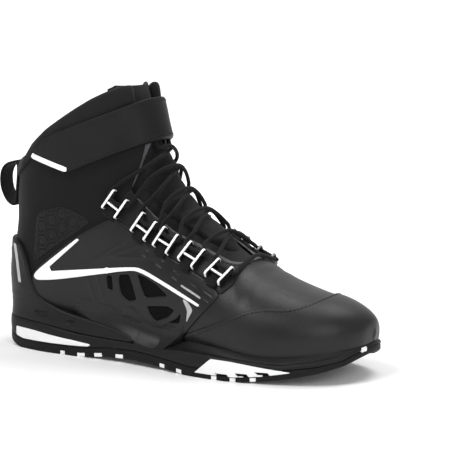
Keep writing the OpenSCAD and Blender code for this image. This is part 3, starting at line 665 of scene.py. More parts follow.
def shader(name, rough, specular=0.5, metal=0.0, coat=0.0, coat_rough=0.2, sheen=0.0):
    material = bpy.data.materials.new(name)
    material.use_nodes = True
    nodes, links = material.node_tree.nodes, material.node_tree.links
    p = nodes["Principled BSDF"]
    p.inputs["Roughness"].default_value = rough
    p.inputs["Specular IOR Level"].default_value = specular
    p.inputs["Metallic"].default_value = metal
    p.inputs["Coat Weight"].default_value = coat
    p.inputs["Coat Roughness"].default_value = coat_rough
    p.inputs["Sheen Weight"].default_value = sheen
    coord = nodes.new("ShaderNodeTexCoord").outputs["Object"]
    return material, nodes, links, p, coord


def noise(nodes, links, coord, scale, detail=3.0):
    n = nodes.new("ShaderNodeTexNoise")
    n.inputs["Scale"].default_value = scale
    n.inputs["Detail"].default_value = detail
    links.new(coord, n.inputs["Vector"])
    return n.outputs["Fac"]


def ramp(nodes, links, value, stops):
    """Value to colour or grey through the stops (place, colour)."""
    r = nodes.new("ShaderNodeValToRGB")
    links.new(value, r.inputs["Fac"])
    e = r.color_ramp.elements
    while len(e) < len(stops):
        e.new(0.5)
    for element, (place, colour) in zip(e, stops):
        element.position = place
        element.color = (*(colour if hasattr(colour, "__len__") else (colour,) * 3), 1)
    return r.outputs["Color"]


def combine(nodes, links, kind, a, b):
    m = nodes.new("ShaderNodeMath")
    m.operation = kind
    for socket, v in zip(m.inputs, (a, b)):
        if isinstance(v, (int, float)):
            socket.default_value = v
        else:
            links.new(v, socket)
    return m.outputs[0]


def bump(nodes, links, p, height, strength, distance):
    b = nodes.new("ShaderNodeBump")
    b.inputs["Strength"].default_value = strength
    b.inputs["Distance"].default_value = distance
    links.new(height, b.inputs["Height"])
    links.new(b.outputs["Normal"], p.inputs["Normal"])


def tones(tone, spread):
    """A darker and a lighter grey round a tone, a touch cool."""
    return [tuple(tone * k * c for c in (0.985, 0.99, 1.03)) for k in (1 - spread, 1 + spread)]


def leather(name, tone, rough, grain=1.0, coat=0.0, specular=0.28):
    """Fine grained leather: pebbled cells, pores, and slow changes of colour and gloss."""
    m, nodes, links, p, coord = shader(name, rough, specular, coat=coat, coat_rough=0.35)
    cells = nodes.new("ShaderNodeTexVoronoi")
    cells.feature = "SMOOTH_F1"
    cells.inputs["Scale"].default_value = 950
    cells.inputs["Smoothness"].default_value = 0.35
    links.new(coord, cells.inputs["Vector"])
    fine = noise(nodes, links, coord, 2600, 4)
    slow = noise(nodes, links, coord, 38, 3)
    height = combine(nodes, links, "ADD", cells.outputs["Distance"],
                     combine(nodes, links, "MULTIPLY", fine, 0.5))
    bump(nodes, links, p, height, 0.32 * grain, 0.00022)
    dark, light = tones(tone, 0.16)
    links.new(ramp(nodes, links, slow, [(0.3, dark), (0.7, light)]), p.inputs["Base Color"])
    links.new(ramp(nodes, links, slow, [(0.3, rough - 0.05), (0.7, rough + 0.06)]), p.inputs["Roughness"])
    return m


def textile(name, tone, rough=0.85, pitch=0.9, depth=0.5, sheen=0.15, open_weave=0.0):
    """Woven cloth: two sets of threads crossing, pitch in mm, with painted shade: the colour is darker where
    the weave is low, and darkest in the gaps of an open weave.
    """
    m, nodes, links, p, coord = shader(name, rough, 0.12, sheen=sheen * 0.3)
    waves = []
    for axis in ((1, 0.35, 1), (1, 0.35, -1)):
        dot = nodes.new("ShaderNodeVectorMath")
        dot.operation = "DOT_PRODUCT"
        dot.inputs[1].default_value = tuple(v * 2 * math.pi / (pitch * MM) / 1.45 for v in axis)
        links.new(coord, dot.inputs[0])
        wave = combine(nodes, links, "SINE", dot.outputs["Value"], 0)
        waves.append(wave)
    weave = combine(nodes, links, "MULTIPLY", waves[0], waves[1])
    weave = combine(nodes, links, "MULTIPLY_ADD", weave, 0.5)
    fuzz = noise(nodes, links, coord, 1800, 3)
    height = combine(nodes, links, "ADD", weave, fuzz)
    bump(nodes, links, p, height, depth, 0.00035)
    # Painted shade: the colour follows the weave's height, darker where the threads dip.
    dark, light = tones(tone, 0.25 + 0.5 * open_weave)
    links.new(ramp(nodes, links, height, [(0.35, dark), (1.1 if open_weave == 0 else 0.9, light)]),
              p.inputs["Base Color"])
    return m


def moulded(name, tone, rough, specular=0.5, texture=0.15, coat=0.0, tint=None):
    """Moulded plastic or rubber with a faint spark-eroded texture."""
    m, nodes, links, p, coord = shader(name, rough, specular, coat=coat)
    fine, slow = noise(nodes, links, coord, 1500, 3), noise(nodes, links, coord, 45, 2)
    bump(nodes, links, p, fine, texture, 0.0001)
    if tint is None:
        dark, light = tones(tone, 0.1)
    else:
        dark, light = (tuple(tone * k * c for c in tint) for k in (0.94, 1.03))
    links.new(ramp(nodes, links, slow, [(0.3, dark), (0.7, light)]), p.inputs["Base Color"])
    links.new(ramp(nodes, links, slow, [(0.3, max(rough - 0.04, 0.02)), (0.7, rough + 0.05)]),
              p.inputs["Roughness"])
    return m


def metal_film(name, tone, rough, metal):
    m, nodes, links, p, coord = shader(name, rough, 0.5, metal)
    fine = noise(nodes, links, coord, 3500, 2)
    bump(nodes, links, p, fine, 0.12, 0.0001)
    links.new(ramp(nodes, links, noise(nodes, links, coord, 120, 2), [(0.3, tone * 0.9), (0.7, tone * 1.08)]),
              p.inputs["Base Color"])
    return m


def tape(name, tone, scale, depth):
    """Hook or loop tape: rows of tiny tufts."""
    m, nodes, links, p, coord = shader(name, 0.9, 0.2, sheen=0.3)
    dots = nodes.new("ShaderNodeTexVoronoi")
    dots.inputs["Scale"].default_value = scale
    dots.inputs["Randomness"].default_value = 0.35
    links.new(coord, dots.inputs["Vector"])
    bump(nodes, links, p, dots.outputs["Distance"], depth, 0.0005)
    dark, light = tones(tone, 0.4)
    links.new(ramp(nodes, links, dots.outputs["Distance"], [(0.1, light), (0.6, dark)]),
              p.inputs["Base Color"])
    return m


MAT = {
    "outsole_rubber": moulded("outsole_rubber", 0.007, 0.62, 0.18, 0.3),
    "midsole_rubber": moulded("midsole_rubber", 0.008, 0.52, 0.2, 0.25),
    "white_rubber": moulded("white_rubber", 0.86, 0.42, 0.45, 0.1, tint=(1, 1, 1)),
    "shank_steel": metal_film("shank_steel", 0.5, 0.35, 1.0),
    "board": textile("board", 0.12, 0.9, 0.8, 0.3),
    "footbed_textile": textile("footbed_textile", 0.03, 0.9, 0.8, 0.5, 0.3),
    "leather_vamp": leather("leather_vamp", 0.011, 0.43),
    "leather_quarter": leather("leather_quarter", 0.006, 0.6, 0.8, specular=0.12),
    "leather_panel": leather("leather_panel", 0.0095, 0.43, 0.7),
    "leather_eyestay": leather("leather_eyestay", 0.008, 0.5, 0.8, specular=0.18),
    "stiffener": moulded("stiffener", 0.3, 0.6, 0.4, 0.2, tint=(1, 0.93, 0.82)),
    "foam": textile("foam", 0.09, 0.95, 0.6, 0.4),
    "ankle_cup_plastic": moulded("ankle_cup_plastic", 0.5, 0.55, 0.4, 0.2, tint=(1, 0.42, 0.12)),
    "lining_textile": textile("lining_textile", 0.014, 0.9, 1.0, 0.6, 0.2),
    "collar_textile": textile("collar_textile", 0.010, 0.85, 1.3, 0.6, 0.25),
    "heel_cup_plastic": moulded("heel_cup_plastic", 0.008, 0.48, 0.2, 0.2),
    "reflector": metal_film("reflector", 0.42, 0.42, 0.15),
    "mesh_textile": textile("mesh_textile", 0.0015, 0.9, 1.6, 0.5, 0.0, open_weave=0.6),
    "white_trim": moulded("white_trim", 0.9, 0.3, 0.5, 0.05, tint=(1, 1, 1)),
    "guard_plastic": moulded("guard_plastic", 0.005, 0.45, 0.2, 0.15),
    "webbing": textile("webbing", 0.007, 0.8, 1.4, 0.8, 0.15),
    "keeper_white": moulded("keeper_white", 0.9, 0.28, 0.5, 0.04, tint=(1, 1, 1)),
    "keeper_grey": metal_film("keeper_grey", 0.25, 0.32, 0.8),
    "keeper_body": moulded("keeper_body", 0.009, 0.4, 0.35, 0.1),
    "lace_cord": textile("lace_cord", 0.007, 0.8, 0.7, 0.6, 0.2),
    "aglet_plastic": moulded("aglet_plastic", 0.01, 0.3),
    "tongue_textile": textile("tongue_textile", 0.009, 0.85, 1.3, 0.7, 0.2),
    "strap_leather": leather("strap_leather", 0.008, 0.5, 0.9, specular=0.16),
    "hook_tape": tape("hook_tape", 0.012, 900, 0.9),
    "loop_tape": tape("loop_tape", 0.014, 1400, 0.6),
    "thread": textile("thread", 0.014, 0.7, 0.4, 0.4, 0.1),
    "thread_light": textile("thread_light", 0.10, 0.7, 0.4, 0.4, 0.1),
}

for node, o in frame["nodes"].items():
    slot = next(s["material_slot"] for s in frame["record"]["subparts"] if s["node"] == node)
    o.data.materials.clear()
    o.data.materials.append(MAT[slot])

# ---- Regions of the side view ----


def within(*outlines, without=(), width=None, extra=None):
    """A region: inside every outline and outside each of the others, and within a width across."""
    def region(p):
        v = np.full(np.shape(p)[:-1], 1e3)
        for o in outlines:
            v = np.minimum(v, inside(o, p[..., 0], p[..., 2]))
        for o in without:
            v = np.minimum(v, -inside(o, p[..., 0], p[..., 2]))
        if width is not None:
            v = np.minimum(v, width - np.abs(p[..., 1]))
        if extra is not None:
            v = np.minimum(v, extra(p))
        return v
    return region


THROAT_EDGE = soft(THROAT + THROAT_FRONT, corners=(0, 10, 11, 12), tight=3)
UPPER_LOW = over(FEATHER)
REAR = [[x - 8, z] for x, z in VAMP_REAR]
VAMP_AREA = REAR + [[300, -20], [300, 120]]
QUARTER_AREA = REAR + [[-100, -20], [-100, 260], [300, 260]]
BELOW_COLLAR = [[x, z + 3] for x, z in COLLAR_LOW] + [[300, 200], [300, -20], [-100, -20], [-100, 130]]
FULL = (0, 360)
LATERAL, MEDIAL = (180, 360), (0, 180)

# ---- Upper: base leather ----



def ridge_seam(p, side):
    """Distance from the seam that runs forwards from the corner of the throat along a side of the ridge."""
    x = np.asarray(p[..., 0])
    u = np.interp(x, *np.array(SEAM_SIDE[side])[:, :2].T)
    v = np.interp(x, np.array(SEAM_SIDE[side])[:, 0], np.array(SEAM_SIDE[side])[:, 2])
    return np.where((x > 166) & (x < 223), np.hypot(p[..., 1] - u, 0.6 * (p[..., 2] - v)), 9.0)


SEAM_SIDE = {-1: [[166, -28, 73], [176.5, -25, 68.7], [187, -23.2, 64.7], [199.6, -20.7, 60.8],
                  [211, -18.1, 57.7], [223, -16.3, 55]],
             1: [[166, 34, 73], [176.5, 32, 68.7], [187, 31, 64.7], [199.6, 29.5, 60.8], [211, 27, 57.7],
                 [223, 25, 55]]}


def creases(p, f):
    """Soft creases across the flex of the forefoot, and the seams along its ridge."""
    x, y, z = p[..., 0], p[..., 1], p[..., 2]
    across = np.exp(-((x - 168) / 14) ** 2) * smoothstep(45, 62, z)
    seams = sum(np.exp(-(ridge_seam(p, side) / 0.7) ** 2) for side in (-1, 1))
    return 0.28 * across * np.sin((x + 0.15 * np.abs(y) + 0.2 * z) * 0.55) - 0.45 * seams


def ankle_folds(p, f):
    """Shallow folds of the shaft where the ankle bends."""
    x, z = p[..., 0], p[..., 2]
    place = np.exp(-((z - 112 - 0.25 * x) / 16) ** 2) * smoothstep(20, 60, x)
    return 0.35 * place * np.sin((z - 0.35 * x) * 0.42)


finish_piece(sheet("vamp", within(VAMP_AREA, UPPER_LOW, without=[THROAT_EDGE]), LINING, 0, (-0.98, 8.6), FULL,
                   (0.06, 1.5), relief=creases), "boot", "leather_vamp", MAT["leather_vamp"], "vamp")
for side, s_range in (("lateral", LATERAL), ("medial", MEDIAL)):
    region = within(QUARTER_AREA, UPPER_LOW, BELOW_COLLAR, without=[THROAT_EDGE])
    finish_piece(sheet(f"quarter_{side}", region, LINING, 0, (5, 17.9), s_range, (0.07, 1.5),
                       relief=ankle_folds),
                 "boot", "leather_quarter", MAT["leather_quarter"], f"quarter_{side}")
finish_piece(sheet("quarter_lining", within(QUARTER_AREA, UPPER_LOW, BELOW_COLLAR, without=[THROAT_EDGE]),
                   -5.2, -3.6, (5, 17.9), FULL, (0.12, 3), solid=True),
             "boot", "lining_textile", MAT["lining_textile"], "quarter_lining")
finish_piece(sheet("vamp_lining", within(VAMP_AREA, UPPER_LOW, without=[THROAT_EDGE]), -5.2, -3.6,
                   (0.9, 8.6), FULL,
                   (0.12, 3), solid=True), "boot", "lining_textile", MAT["lining_textile"], "vamp_lining")

# ---- Upper: overlaid panels ----

TOE_AREA = soft(TOE_SEAM, corners=(9, 10, 11, 12))
toe_region = within(TOE_AREA, over([[x, z + 1] for x, z in SOLE_TOP]))
finish_piece(sheet("toe_cap", toe_region, -0.3, PANEL_OUT, (-0.98, 8), FULL, (0.05, 1.2), relief=creases),
             "boot", "leather_vamp", MAT["leather_vamp"], "toe_cap")

PANEL_EDGE = soft(PANEL, corners=(4, 5, 11, 14, 15, 16))
VENT_EDGES = [soft(v, cut=1.6) for v in VENTS]
EYESTAY_WIDE = [
    [58, 107], [71, 125], [100, 130], [165, 92], [163, 77], [164, 66], [157, 59], [152, 63], [142, 69],
    [121, 77], [99, 86], [79, 96], [64, 105],
]
EYESTAY_EDGE = soft(EYESTAY_WIDE, corners=(0, 1, 4, 5, 6, 12))


def panel_lines(p, f):
    """Moulded lines that fan out behind the vents, and a long crease above the stripe."""
    x, z = p[..., 0], p[..., 2]
    height = np.zeros_like(x)
    for x0, z0, x1, z1 in ((48, 66, 58, 34), (40, 62, 50, 36), (34, 66, 78, 93), (46, 73, 86, 88),
                           (60, 77, 104, 80)):
        ex, ez = x1 - x0, z1 - z0
        t = np.clip(((x - x0) * ex + (z - z0) * ez) / (ex * ex + ez * ez), 0, 1)
        far = np.hypot(x - x0 - t * ex, z - z0 - t * ez)
        height += 0.45 * np.exp(-(far / 0.9) ** 2) * np.sin(math.pi * np.clip(t, 0.02, 0.98)) ** 0.5
    for cx, cz in ((88, 83), (102.5, 77), (117.5, 69.5), (133, 62.5), (146.5, 57.5)):
        t = (x - cx) * 0.91 - (z - cz) * 0.41
        n = (x - cx) * 0.41 + (z - cz) * 0.91
        box = np.maximum(np.abs(t) - 4.2, np.abs(n) - 2.3)
        height -= 0.5 * np.exp(-(box / 0.4) ** 2) * smoothstep(-3.4, -2.6, t)
    knob = np.hypot((x - 79) / 9, (z - 34) / 8) + 0.08 * np.sin((x - z) * 0.3)
    return height + 0.7 * smoothstep(1.08, 0.88, knob)


lateral_region = within(PANEL_EDGE, without=VENT_EDGES + [THROAT_EDGE])
medial_region = within(PANEL_EDGE, without=[THROAT_EDGE])
eyestay_region = within(EYESTAY_EDGE, without=[THROAT_EDGE])
finish_piece(
    sheet("side_panel_lateral", lateral_region, -0.3, PANEL_OUT, (5.2, 13), (215, 352), (0.04, 0.7),
          relief=panel_lines),
    "boot", "leather_panel", MAT["leather_panel"], "side_panel_lateral")
finish_piece(sheet("side_panel_medial", medial_region, -0.3, PANEL_OUT, (5.2, 13), (8, 145), (0.05, 1)),
             "boot", "leather_panel", MAT["leather_panel"], "side_panel_medial")
for side, s_range in (("lateral", (180, 290)), ("medial", (70, 180))):
    finish_piece(sheet(f"eyestay_{side}", eyestay_region, -0.3, PANEL_OUT, (5, 12.6), s_range, (0.04, 0.8)),
                 "boot", "leather_eyestay", MAT["leather_eyestay"], f"eyestay_{side}")


def any_vent(p):
    return np.max([inside(v, p[..., 0], p[..., 2]) for v in VENT_EDGES], 0) + 1.2


finish_piece(sheet("vent_mesh", any_vent, -0.2, 0.35, (6.4, 10.4), (235, 352), (0.04, 1), edge=0.2),
             "boot", "mesh_textile", MAT["mesh_textile"], "vent_mesh")
STRIPE_EDGE = soft(STRIPE, corners=(0, 1, 12, 13, 19, 20), tight=0.5)
finish_piece(sheet("stripe", within(STRIPE_EDGE), 1.0, 1.8, (5.6, 13), (225, 345), (0.02, 0.4), edge=0.25),
             "boot", "white_trim", MAT["white_trim"], "stripe")
BAR = soft([[124, 62], [142, 55], [142, 56.5], [124, 63.5]], cut=0.6)
CRESCENT = soft([[126, 54], [131, 52], [136, 47], [130, 37], [131, 46]], cut=2)
finish_piece(sheet("panel_reflectors", lambda p: np.maximum(inside(BAR, p[..., 0], p[..., 2]),
                                                            inside(CRESCENT, p[..., 0], p[..., 2])),
                   1.0, 1.55, (5.6, 8.6), (225, 345), (0.015, 0.4), edge=0.2),
             "boot", "reflector", MAT["reflector"], "panel_reflectors")


def hexagons(p, f):
    """Rings of raised hexagonal cells."""
    size = 10.5
    x, z = p[..., 0] / size, p[..., 2] / size
    q = np.round(x / math.sqrt(3) * 2)
    best = np.full(x.shape, 9.0)
    for dq in (-1, 0, 1):
        column = q + dq
        cx = column * math.sqrt(3) / 2
        shift = np.where(column % 2 == 0, 0.0, 0.5)
        cz = np.round(z - shift) + shift
        dx, dz = np.abs(x - cx), np.abs(z - cz)
        far = np.maximum(dz, dx * 0.866 + dz * 0.5)
        best = np.minimum(best, far)
    ring = np.exp(-((best - 0.37) / 0.06) ** 2)
    return 0.75 * ring + 0.25 * smoothstep(0.3, 0.1, best)


GUARD_EDGE = soft(GUARD, cut=8)
finish_piece(sheet("ankle_guard", within(GUARD_EDGE, without=[PANEL_EDGE]), -0.3, 0.45, (10.6, 16),
                   (215, 345),
                   (0.015, 0.5), edge=0.5, relief=hexagons), "boot", "guard_plastic", MAT["guard_plastic"],
                   "ankle_guard")
finish_piece(sheet("backstay", within([[-60, 84], [-20, 84], [-20, 128], [-60, 127]], width=11), -0.3,
                   PANEL_OUT,
                   (13, 17.8), (-60, 60), (0.04, 1.2)), "boot", "leather_quarter", MAT["leather_quarter"],
                   "backstay")

# ---- Heel cup, arch wing and sole walls ----


def smooth_room(a, z):
    """Room averaged over a short stretch of the ring, which takes its small steps out."""
    return np.mean([room(a + k, z) for k in range(-9, 10, 3)], 0)


def cup_wall(a, z, d):
    """Wall from the sole's edge up to the upper, for the heel cup."""
    a, z = np.asarray(a, float), np.asarray(z, float)
    r = smooth_room(a, z)
    off = 3.0 + (r - 3.0) * smoothstep(23, 52, z)
    return wall(a, z, np.minimum(off, r + 1.8) - d)


def arch_wall(a, z, d):
    """Wall from the sole's edge up to the upper, that starts behind the edge of the heel cup,
    slips under the side panel and fades out at both ends."""
    a, z = np.asarray(a, float), np.asarray(z, float)
    r = smooth_room(a, z)
    x = np.interp(a, np.arange(len(RING)), RING[:, 0])
    up = z - np.interp(x, [12, 30, 60, 84, 103, 122, 126], [34, 30, 26, 18, 14, 15.8, 20])
    low = np.interp(x, [30, 60, 86], [4.4, 3.6, 1.5])
    fade = np.maximum(smoothstep(-1, 16, up), np.maximum(smoothstep(46, 16, x), smoothstep(108, 126, x)))
    under = np.maximum(smoothstep(13, 17, up), 1.4 * smoothstep(34, 19, x))
    return wall(a, z, low + (r - low) * fade + under - d)


def side_wall(a, z, d):
    return wall(a, z, -np.asarray(d, float))


def cup_marks(p, f):
    """Two sunk marks low on the lateral side of the cup."""
    x, y, z = p[..., 0], p[..., 1], p[..., 2]
    sunk = 0
    for cx, cz, w, h in ((-1.5, 28.8, 6, 1.6), (26, 24.8, 4, 1.1)):
        box = np.maximum(np.abs(x - cx) - w, np.abs(z - cz) - h)
        sunk = sunk + smoothstep(0.5, -0.5, box)
    return -1.3 * sunk * (y < 0)


LAP = len(RING)
cup_range = (ring_at(87, 1) - LAP, ring_at(87, -1))
CUP_EDGE = soft(CUP, corners=(0, 16))
cup_region = within(CUP_EDGE)
finish_piece(sheet("heel_cup", cup_region, -2.2, CUP_RISE, cup_range, (14, 88), (0.7, 0.6), cup_wall,
                              edge=1.6, relief=cup_marks), "boot", "heel_cup_plastic",
                              MAT["heel_cup_plastic"], "heel_cup")
finish_piece(sheet("heel_reflector", within(soft(REFLECTOR, cut=1.5), extra=lambda p: -10 - p[..., 1]),
                   CUP_RISE - 0.6, CUP_RISE + 0.25, (-10, 80), (45, 84), (0.3, 0.3), cup_wall, edge=0.3),
             "boot", "reflector", MAT["reflector"], "heel_reflector")
WING = [
    [17, 50], [18, 31], [30, 27.5], [60, 23.5], [84, 17.5], [84, 15.6], [103, 14.6], [122, 16.6], [122, 20],
    [126, 27], [128, 36], [96, 33], [60, 43.5], [40, 47],
]
finish_piece(sheet("arch_wing", within(soft(WING, cut=2)), -1.5, PANEL_OUT,
                   (ring_at(10, -1), ring_at(134, -1)), (14, 52),
                   (0.7, 0.5), arch_wall, edge=0.8), "boot", "leather_panel", MAT["leather_panel"])


def outsole_top(x):
    return line_z(GROUND, x) + 3 + np.maximum(0.7, 3.5 - np.maximum(0, x - 205) / 12)


def midsole():
    """Side of the midsole all round, with a rounded top edge that sweeps up to the upper."""
    a = np.arange(LAP).astype(float)
    x = RING[:, 0]
    bottom, top = outsole_top(x), line_z(SOLE_TOP, x)
    lines = [(bottom, np.full(LAP, 6.0)), (bottom, np.full(LAP, 0.9)), (bottom + 0.6, np.full(LAP, 0.15))]
    for t in np.linspace(0.15, 0.85, 8):
        lines.append((bottom + 0.6 + (top - bottom - 1.8) * t, np.full(LAP, -0.35 * math.sin(math.pi * t))))
    lines += [(top - 0.7, np.full(LAP, 0.15)), (top - 0.15, np.full(LAP, 0.7)),
              (top + 0.1, np.full(LAP, 1.4))]
    lift = 6.5
    reach = np.maximum(room(a, top + lift) + 0.6, 2.2)
    reach = np.convolve(np.concatenate([reach[-15:], reach, reach[:15]]), np.ones(31) / 31, "valid")
    for t in np.linspace(0.15, 1, 8):
        lines.append((top + 0.1 + lift * t ** 2.2, 1.4 + (reach - 1.4) * t))
    lines.append((top + lift, reach + 3))
    points = np.concatenate([wall(a, z, off) for z, off in lines])
    faces = grid_faces(len(lines), LAP, True)[:, ::-1].tolist()
    return add_mesh("midsole", points, faces, 50)


finish_piece(midsole(), "boot", "midsole_rubber", MAT["midsole_rubber"], "midsole")
# Black lugs cut into the lower edge of the forefoot's white insert
LUG_NOTCHES = [[[x, low - 2], [x + 9, low - 2], [x + 7.5, low], [x - 2, low]] for x, low in
               ((160.5, 5.0), (175.5, 6.6), (190.5, 8.6))]
for name, outline, a_range, y_range in (
    ("heel_insert", HEEL_WEDGE, (ring_at(50, 1) - LAP, ring_at(50, -1)), (-90, 90)),
    ("forefoot_insert", FORE_WEDGE, (ring_at(134, -1), ring_at(220, -1)), (-90, 90)),
    ("toe_insert", TOE_WEDGE, (ring_at(238, -1), ring_at(238, 1)), (-10, -4)),
):
    region = within(soft(outline, cut=1.5), without=LUG_NOTCHES,
                    extra=lambda p, r=y_range: np.minimum(p[..., 1] - r[0], r[1] - p[..., 1]))
    finish_piece(sheet(name, region, -1.5, 0.75, a_range, (2, 32), (0.4, 0.3), side_wall, edge=0.5),
                 "boot", "white_rubber", MAT["white_rubber"], name)


def bevelled(name, node, width, slot):
    """A copy of a CAD node with its corners rounded."""
    import bmesh
    bm = bmesh.new()
    bm.from_mesh(frame["nodes"][node].data)
    bmesh.ops.remove_doubles(bm, verts=bm.verts, dist=1e-6)
    bmesh.ops.dissolve_limit(bm, angle_limit=math.radians(1), verts=bm.verts, edges=bm.edges)
    mesh = bpy.data.meshes.new(name)
    bm.to_mesh(mesh)
    bm.free()
    o = bpy.data.objects.new(name, mesh)
    bpy.context.scene.collection.objects.link(o)
    m = o.modifiers.new("round", "BEVEL")
    m.width, m.segments, m.limit_method, m.angle_limit = width * MM, 2, "ANGLE", math.radians(35)
    bpy.context.view_layer.update()
    made = bpy.data.meshes.new_from_object(o.evaluated_get(bpy.context.evaluated_depsgraph_get()))
    o.modifiers.clear()
    o.data = made
    made.shade_smooth()
    made.set_sharp_from_angle(angle=math.radians(35))
    return finish_piece(o, "boot", slot, MAT[slot], node)


bevelled("outsole_body", "outsole", 0.5, "outsole_rubber")
bevelled("lugs", "tread_lugs", 0.6, "outsole_rubber")
bevelled("chips", "tread_chips", 0.4, "white_rubber")

# ---- Inside ----


def footbed():
    """Moulded insole: a contoured sheet that rises at its sides and heel."""
    xs = np.linspace(-37, 240, 120)
    across = np.linspace(-1, 1, 41)
    points = []
    for x in xs:
        z = float(line_z(FOOTBED_TOP, x))
        outline = slice_at(z + 3)
        found = []
        for sign in (-1, 1):
            part = outline[np.sign(outline[:, 1] - 1) == sign]
            order = np.argsort(part[:, 0])
            found.append(float(np.interp(x, part[order, 0], part[order, 1])) - sign * 5.2)
        middle, half = (found[0] + found[1]) / 2, max((found[1] - found[0]) / 2, 1.0)
        end = min(1, math.sqrt(max(0.0, min((x + 37.5) / 14, (240.5 - x) / 20))))
        rise = 3.5 * (1 - smoothstep(-10, 40, x)) + 1.5
        for v in across:
            points.append([x, middle + half * v * end, z + rise * abs(v) ** 4 - 0.5])
    return add_mesh("footbed", points, grid_faces(len(xs), len(across))[:, ::-1].tolist())


finish_piece(footbed(), "boot", "footbed_textile", MAT["footbed_textile"], "footbed")

# ---- Collar ----


def cross_station(line, s):
    """Station at which the surface's line at angle s passes a side line."""
    u = np.linspace(12.2, 18, 150)
    p = skin(u[:, None], s[None, :], 0)
    g = p[..., 2] - line_z(line, p[..., 0])
    first = np.argmax(g > 0, 0)
    first = np.where(g.max(0) > 0, np.maximum(first, 1), len(u) - 1)
    k = np.arange(len(s))
    g0, g1 = g[first - 1, k], g[first, k]
    t = np.clip(-g0 / np.where(np.abs(g1 - g0) < 1e-9, 1, g1 - g0), 0, 1)
    return u[first - 1] + t * (u[first] - u[first - 1])


SECTION = [
    [-0.04, -0.6], [0.0, 0.4], [0.05, 1.4], [0.14, 1.9], [0.3, 2.2], [0.5, 2.5], [0.7, 2.6], [0.86, 2.1],
    [0.96, 0.9], [1.02, -1.0], [1.03, -2.2], [1.0, -4.0], [0.92, -5.6], [0.76, -6.6], [0.55, -7.0],
    [0.32, -6.8], [0.12, -6.0], [0.0, -5.2], [-0.04, -4.6],
]


def collar():
    """Padded collar: a roll that wraps over the top of the shaft, from one side of the throat round
    to the other."""
    angles = np.arange(0, 361, 1.0)
    low, top = cross_station(COLLAR_LOW, angles), cross_station(SHAFT_TOP, angles)

    def station(s, h):
        s = np.mod(s, 360)
        return np.interp(s, angles, low) * (1 - h) + np.interp(s, angles, top) * h

    heights = np.linspace(-0.05, 1.05, 12)
    ends = []
    for s_list in (np.arange(60, 181, 0.5), np.arange(300, 179, -0.5)):
        found = []
        for h in heights:
            p = skin(station(s_list, h), s_list, 0)
            gone = inside(THROAT_EDGE, p[:, 0], p[:, 2]) > -0.5
            found.append(s_list[np.argmax(gone)] if gone.any() else s_list[-1])
        ends.append(np.array(found))
    ends = [np.convolve(np.pad(e, 2, mode="edge"), np.ones(5) / 5, "valid") for e in ends]
    section = rows(SECTION, np.linspace(0, len(SECTION) - 1, 56))
    round_end = 0.02
    t = np.concatenate([round_end * (1 - np.cos(np.linspace(0, math.pi / 2, 7))),
                        np.linspace(round_end, 1 - round_end, 240)[1:-1],
                        1 - round_end * (1 - np.cos(np.linspace(math.pi / 2, 0, 7)))])
    points = []
    for v in t:
        k = math.sqrt(max(0.0, 1 - (1 - min(v, 1 - v) / round_end) ** 2)) if min(v,
                                                                                 1 - v) < round_end else 1.0
        h = 0.5 + (section[:, 0] - 0.5) * (0.94 + 0.06 * k)
        d = -2.2 + (section[:, 1] + 2.2) * max(k, 0.02)
        start, end = np.interp(h, heights, ends[1]), 360 + np.interp(h, heights, ends[0])
        s = start + (end - start) * v
        # padding puckers slightly along its length
        wave = 0.22 * np.sin(s * 0.35) * np.sin(math.pi * np.clip(h, 0, 1))
        points.append(skin(station(s, h), s, d + wave * k))
    points = np.array(points)
    faces = grid_faces(len(t), len(section)).tolist()
    n, m = len(t), len(section)
    faces.append(list(range(m)))
    faces.append([(n - 1) * m + k for k in range(m)][::-1])
    return add_mesh("collar", points.reshape(-1, 3), faces, 60)


collar_piece = finish_piece(collar(), "boot", "collar_textile", MAT["collar_textile"], "collar")

# ---- Tongue ----


def quilting(p, f):
    """Padded channels across the tongue, with the padding thinner towards its edges."""
    x, y, z = p[..., 0], p[..., 1], p[..., 2]
    along = z - 0.45 * x
    channels = np.abs(np.sin(along * math.pi / 13))
    return 1.1 * channels ** 0.6 - 0.9


TONGUE_AREA = soft(TONGUE_FACE + THROAT_FRONT, corners=(0, 10, 11, 12))
BELOW_TONGUE_TOP = [[-60, -20], [250, -20], [250, TONGUE_TOP], [-60, TONGUE_TOP]]
tongue_face = finish_piece(
    sheet("tongue_face", within(TONGUE_AREA, BELOW_TONGUE_TOP), TONGUE_OUT, FACE_OUT - 0.3, (5.2, 17.95),
          (105, 255),
          (0.05, 1), edge=2.5, relief=quilting), "tongue", "tongue_textile", MAT["tongue_textile"],
          "tongue_face")
TONGUE_SHEET = soft(TONGUE_BACK + [[172, 90], [210, 120], [150, 216]], corners=(0, 10, 11, 12, 13))
finish_piece(sheet("tongue", within(TONGUE_SHEET, BELOW_TONGUE_TOP), -8, TONGUE_OUT, (5.2, 17.95), (105, 255),
                   (0.07, 1.5), edge=0.8, solid=True), "tongue", "lining_textile", MAT["lining_textile"],
                   "tongue")
LACE_BAND = [[70, 138], [110, 138], [110, 146], [70, 146]]
finish_piece(sheet("lace_band", within(LACE_BAND, width=14), -2.4, -0.7, (10.4, 13.4), (145, 215),
                   (0.03, 0.8), edge=0.4),
             "tongue", "webbing", MAT["webbing"], "lace_band")

# ---- Keepers ----


def unit(v):
    return v / np.linalg.norm(v)


def keeper_frame(i, side):
    """Place of keeper i and its axes: down its row, towards the tongue, and out."""
    def at(u, angle):
        return skin(u, angle if side > 0 else 360 - angle, 1.4)

    u, angle = KEEPERS[i]
    p = at(u, angle)
    down = at(*KEEPERS[min(i + 1, 4)]) - at(*KEEPERS[max(i - 1, 0)])
    out = unit(side * np.cross(at(u, angle + 4) - p, down))
    x = unit(down - (down @ out) * out)
    return p, np.array([x, -side * np.cross(out, x), out])


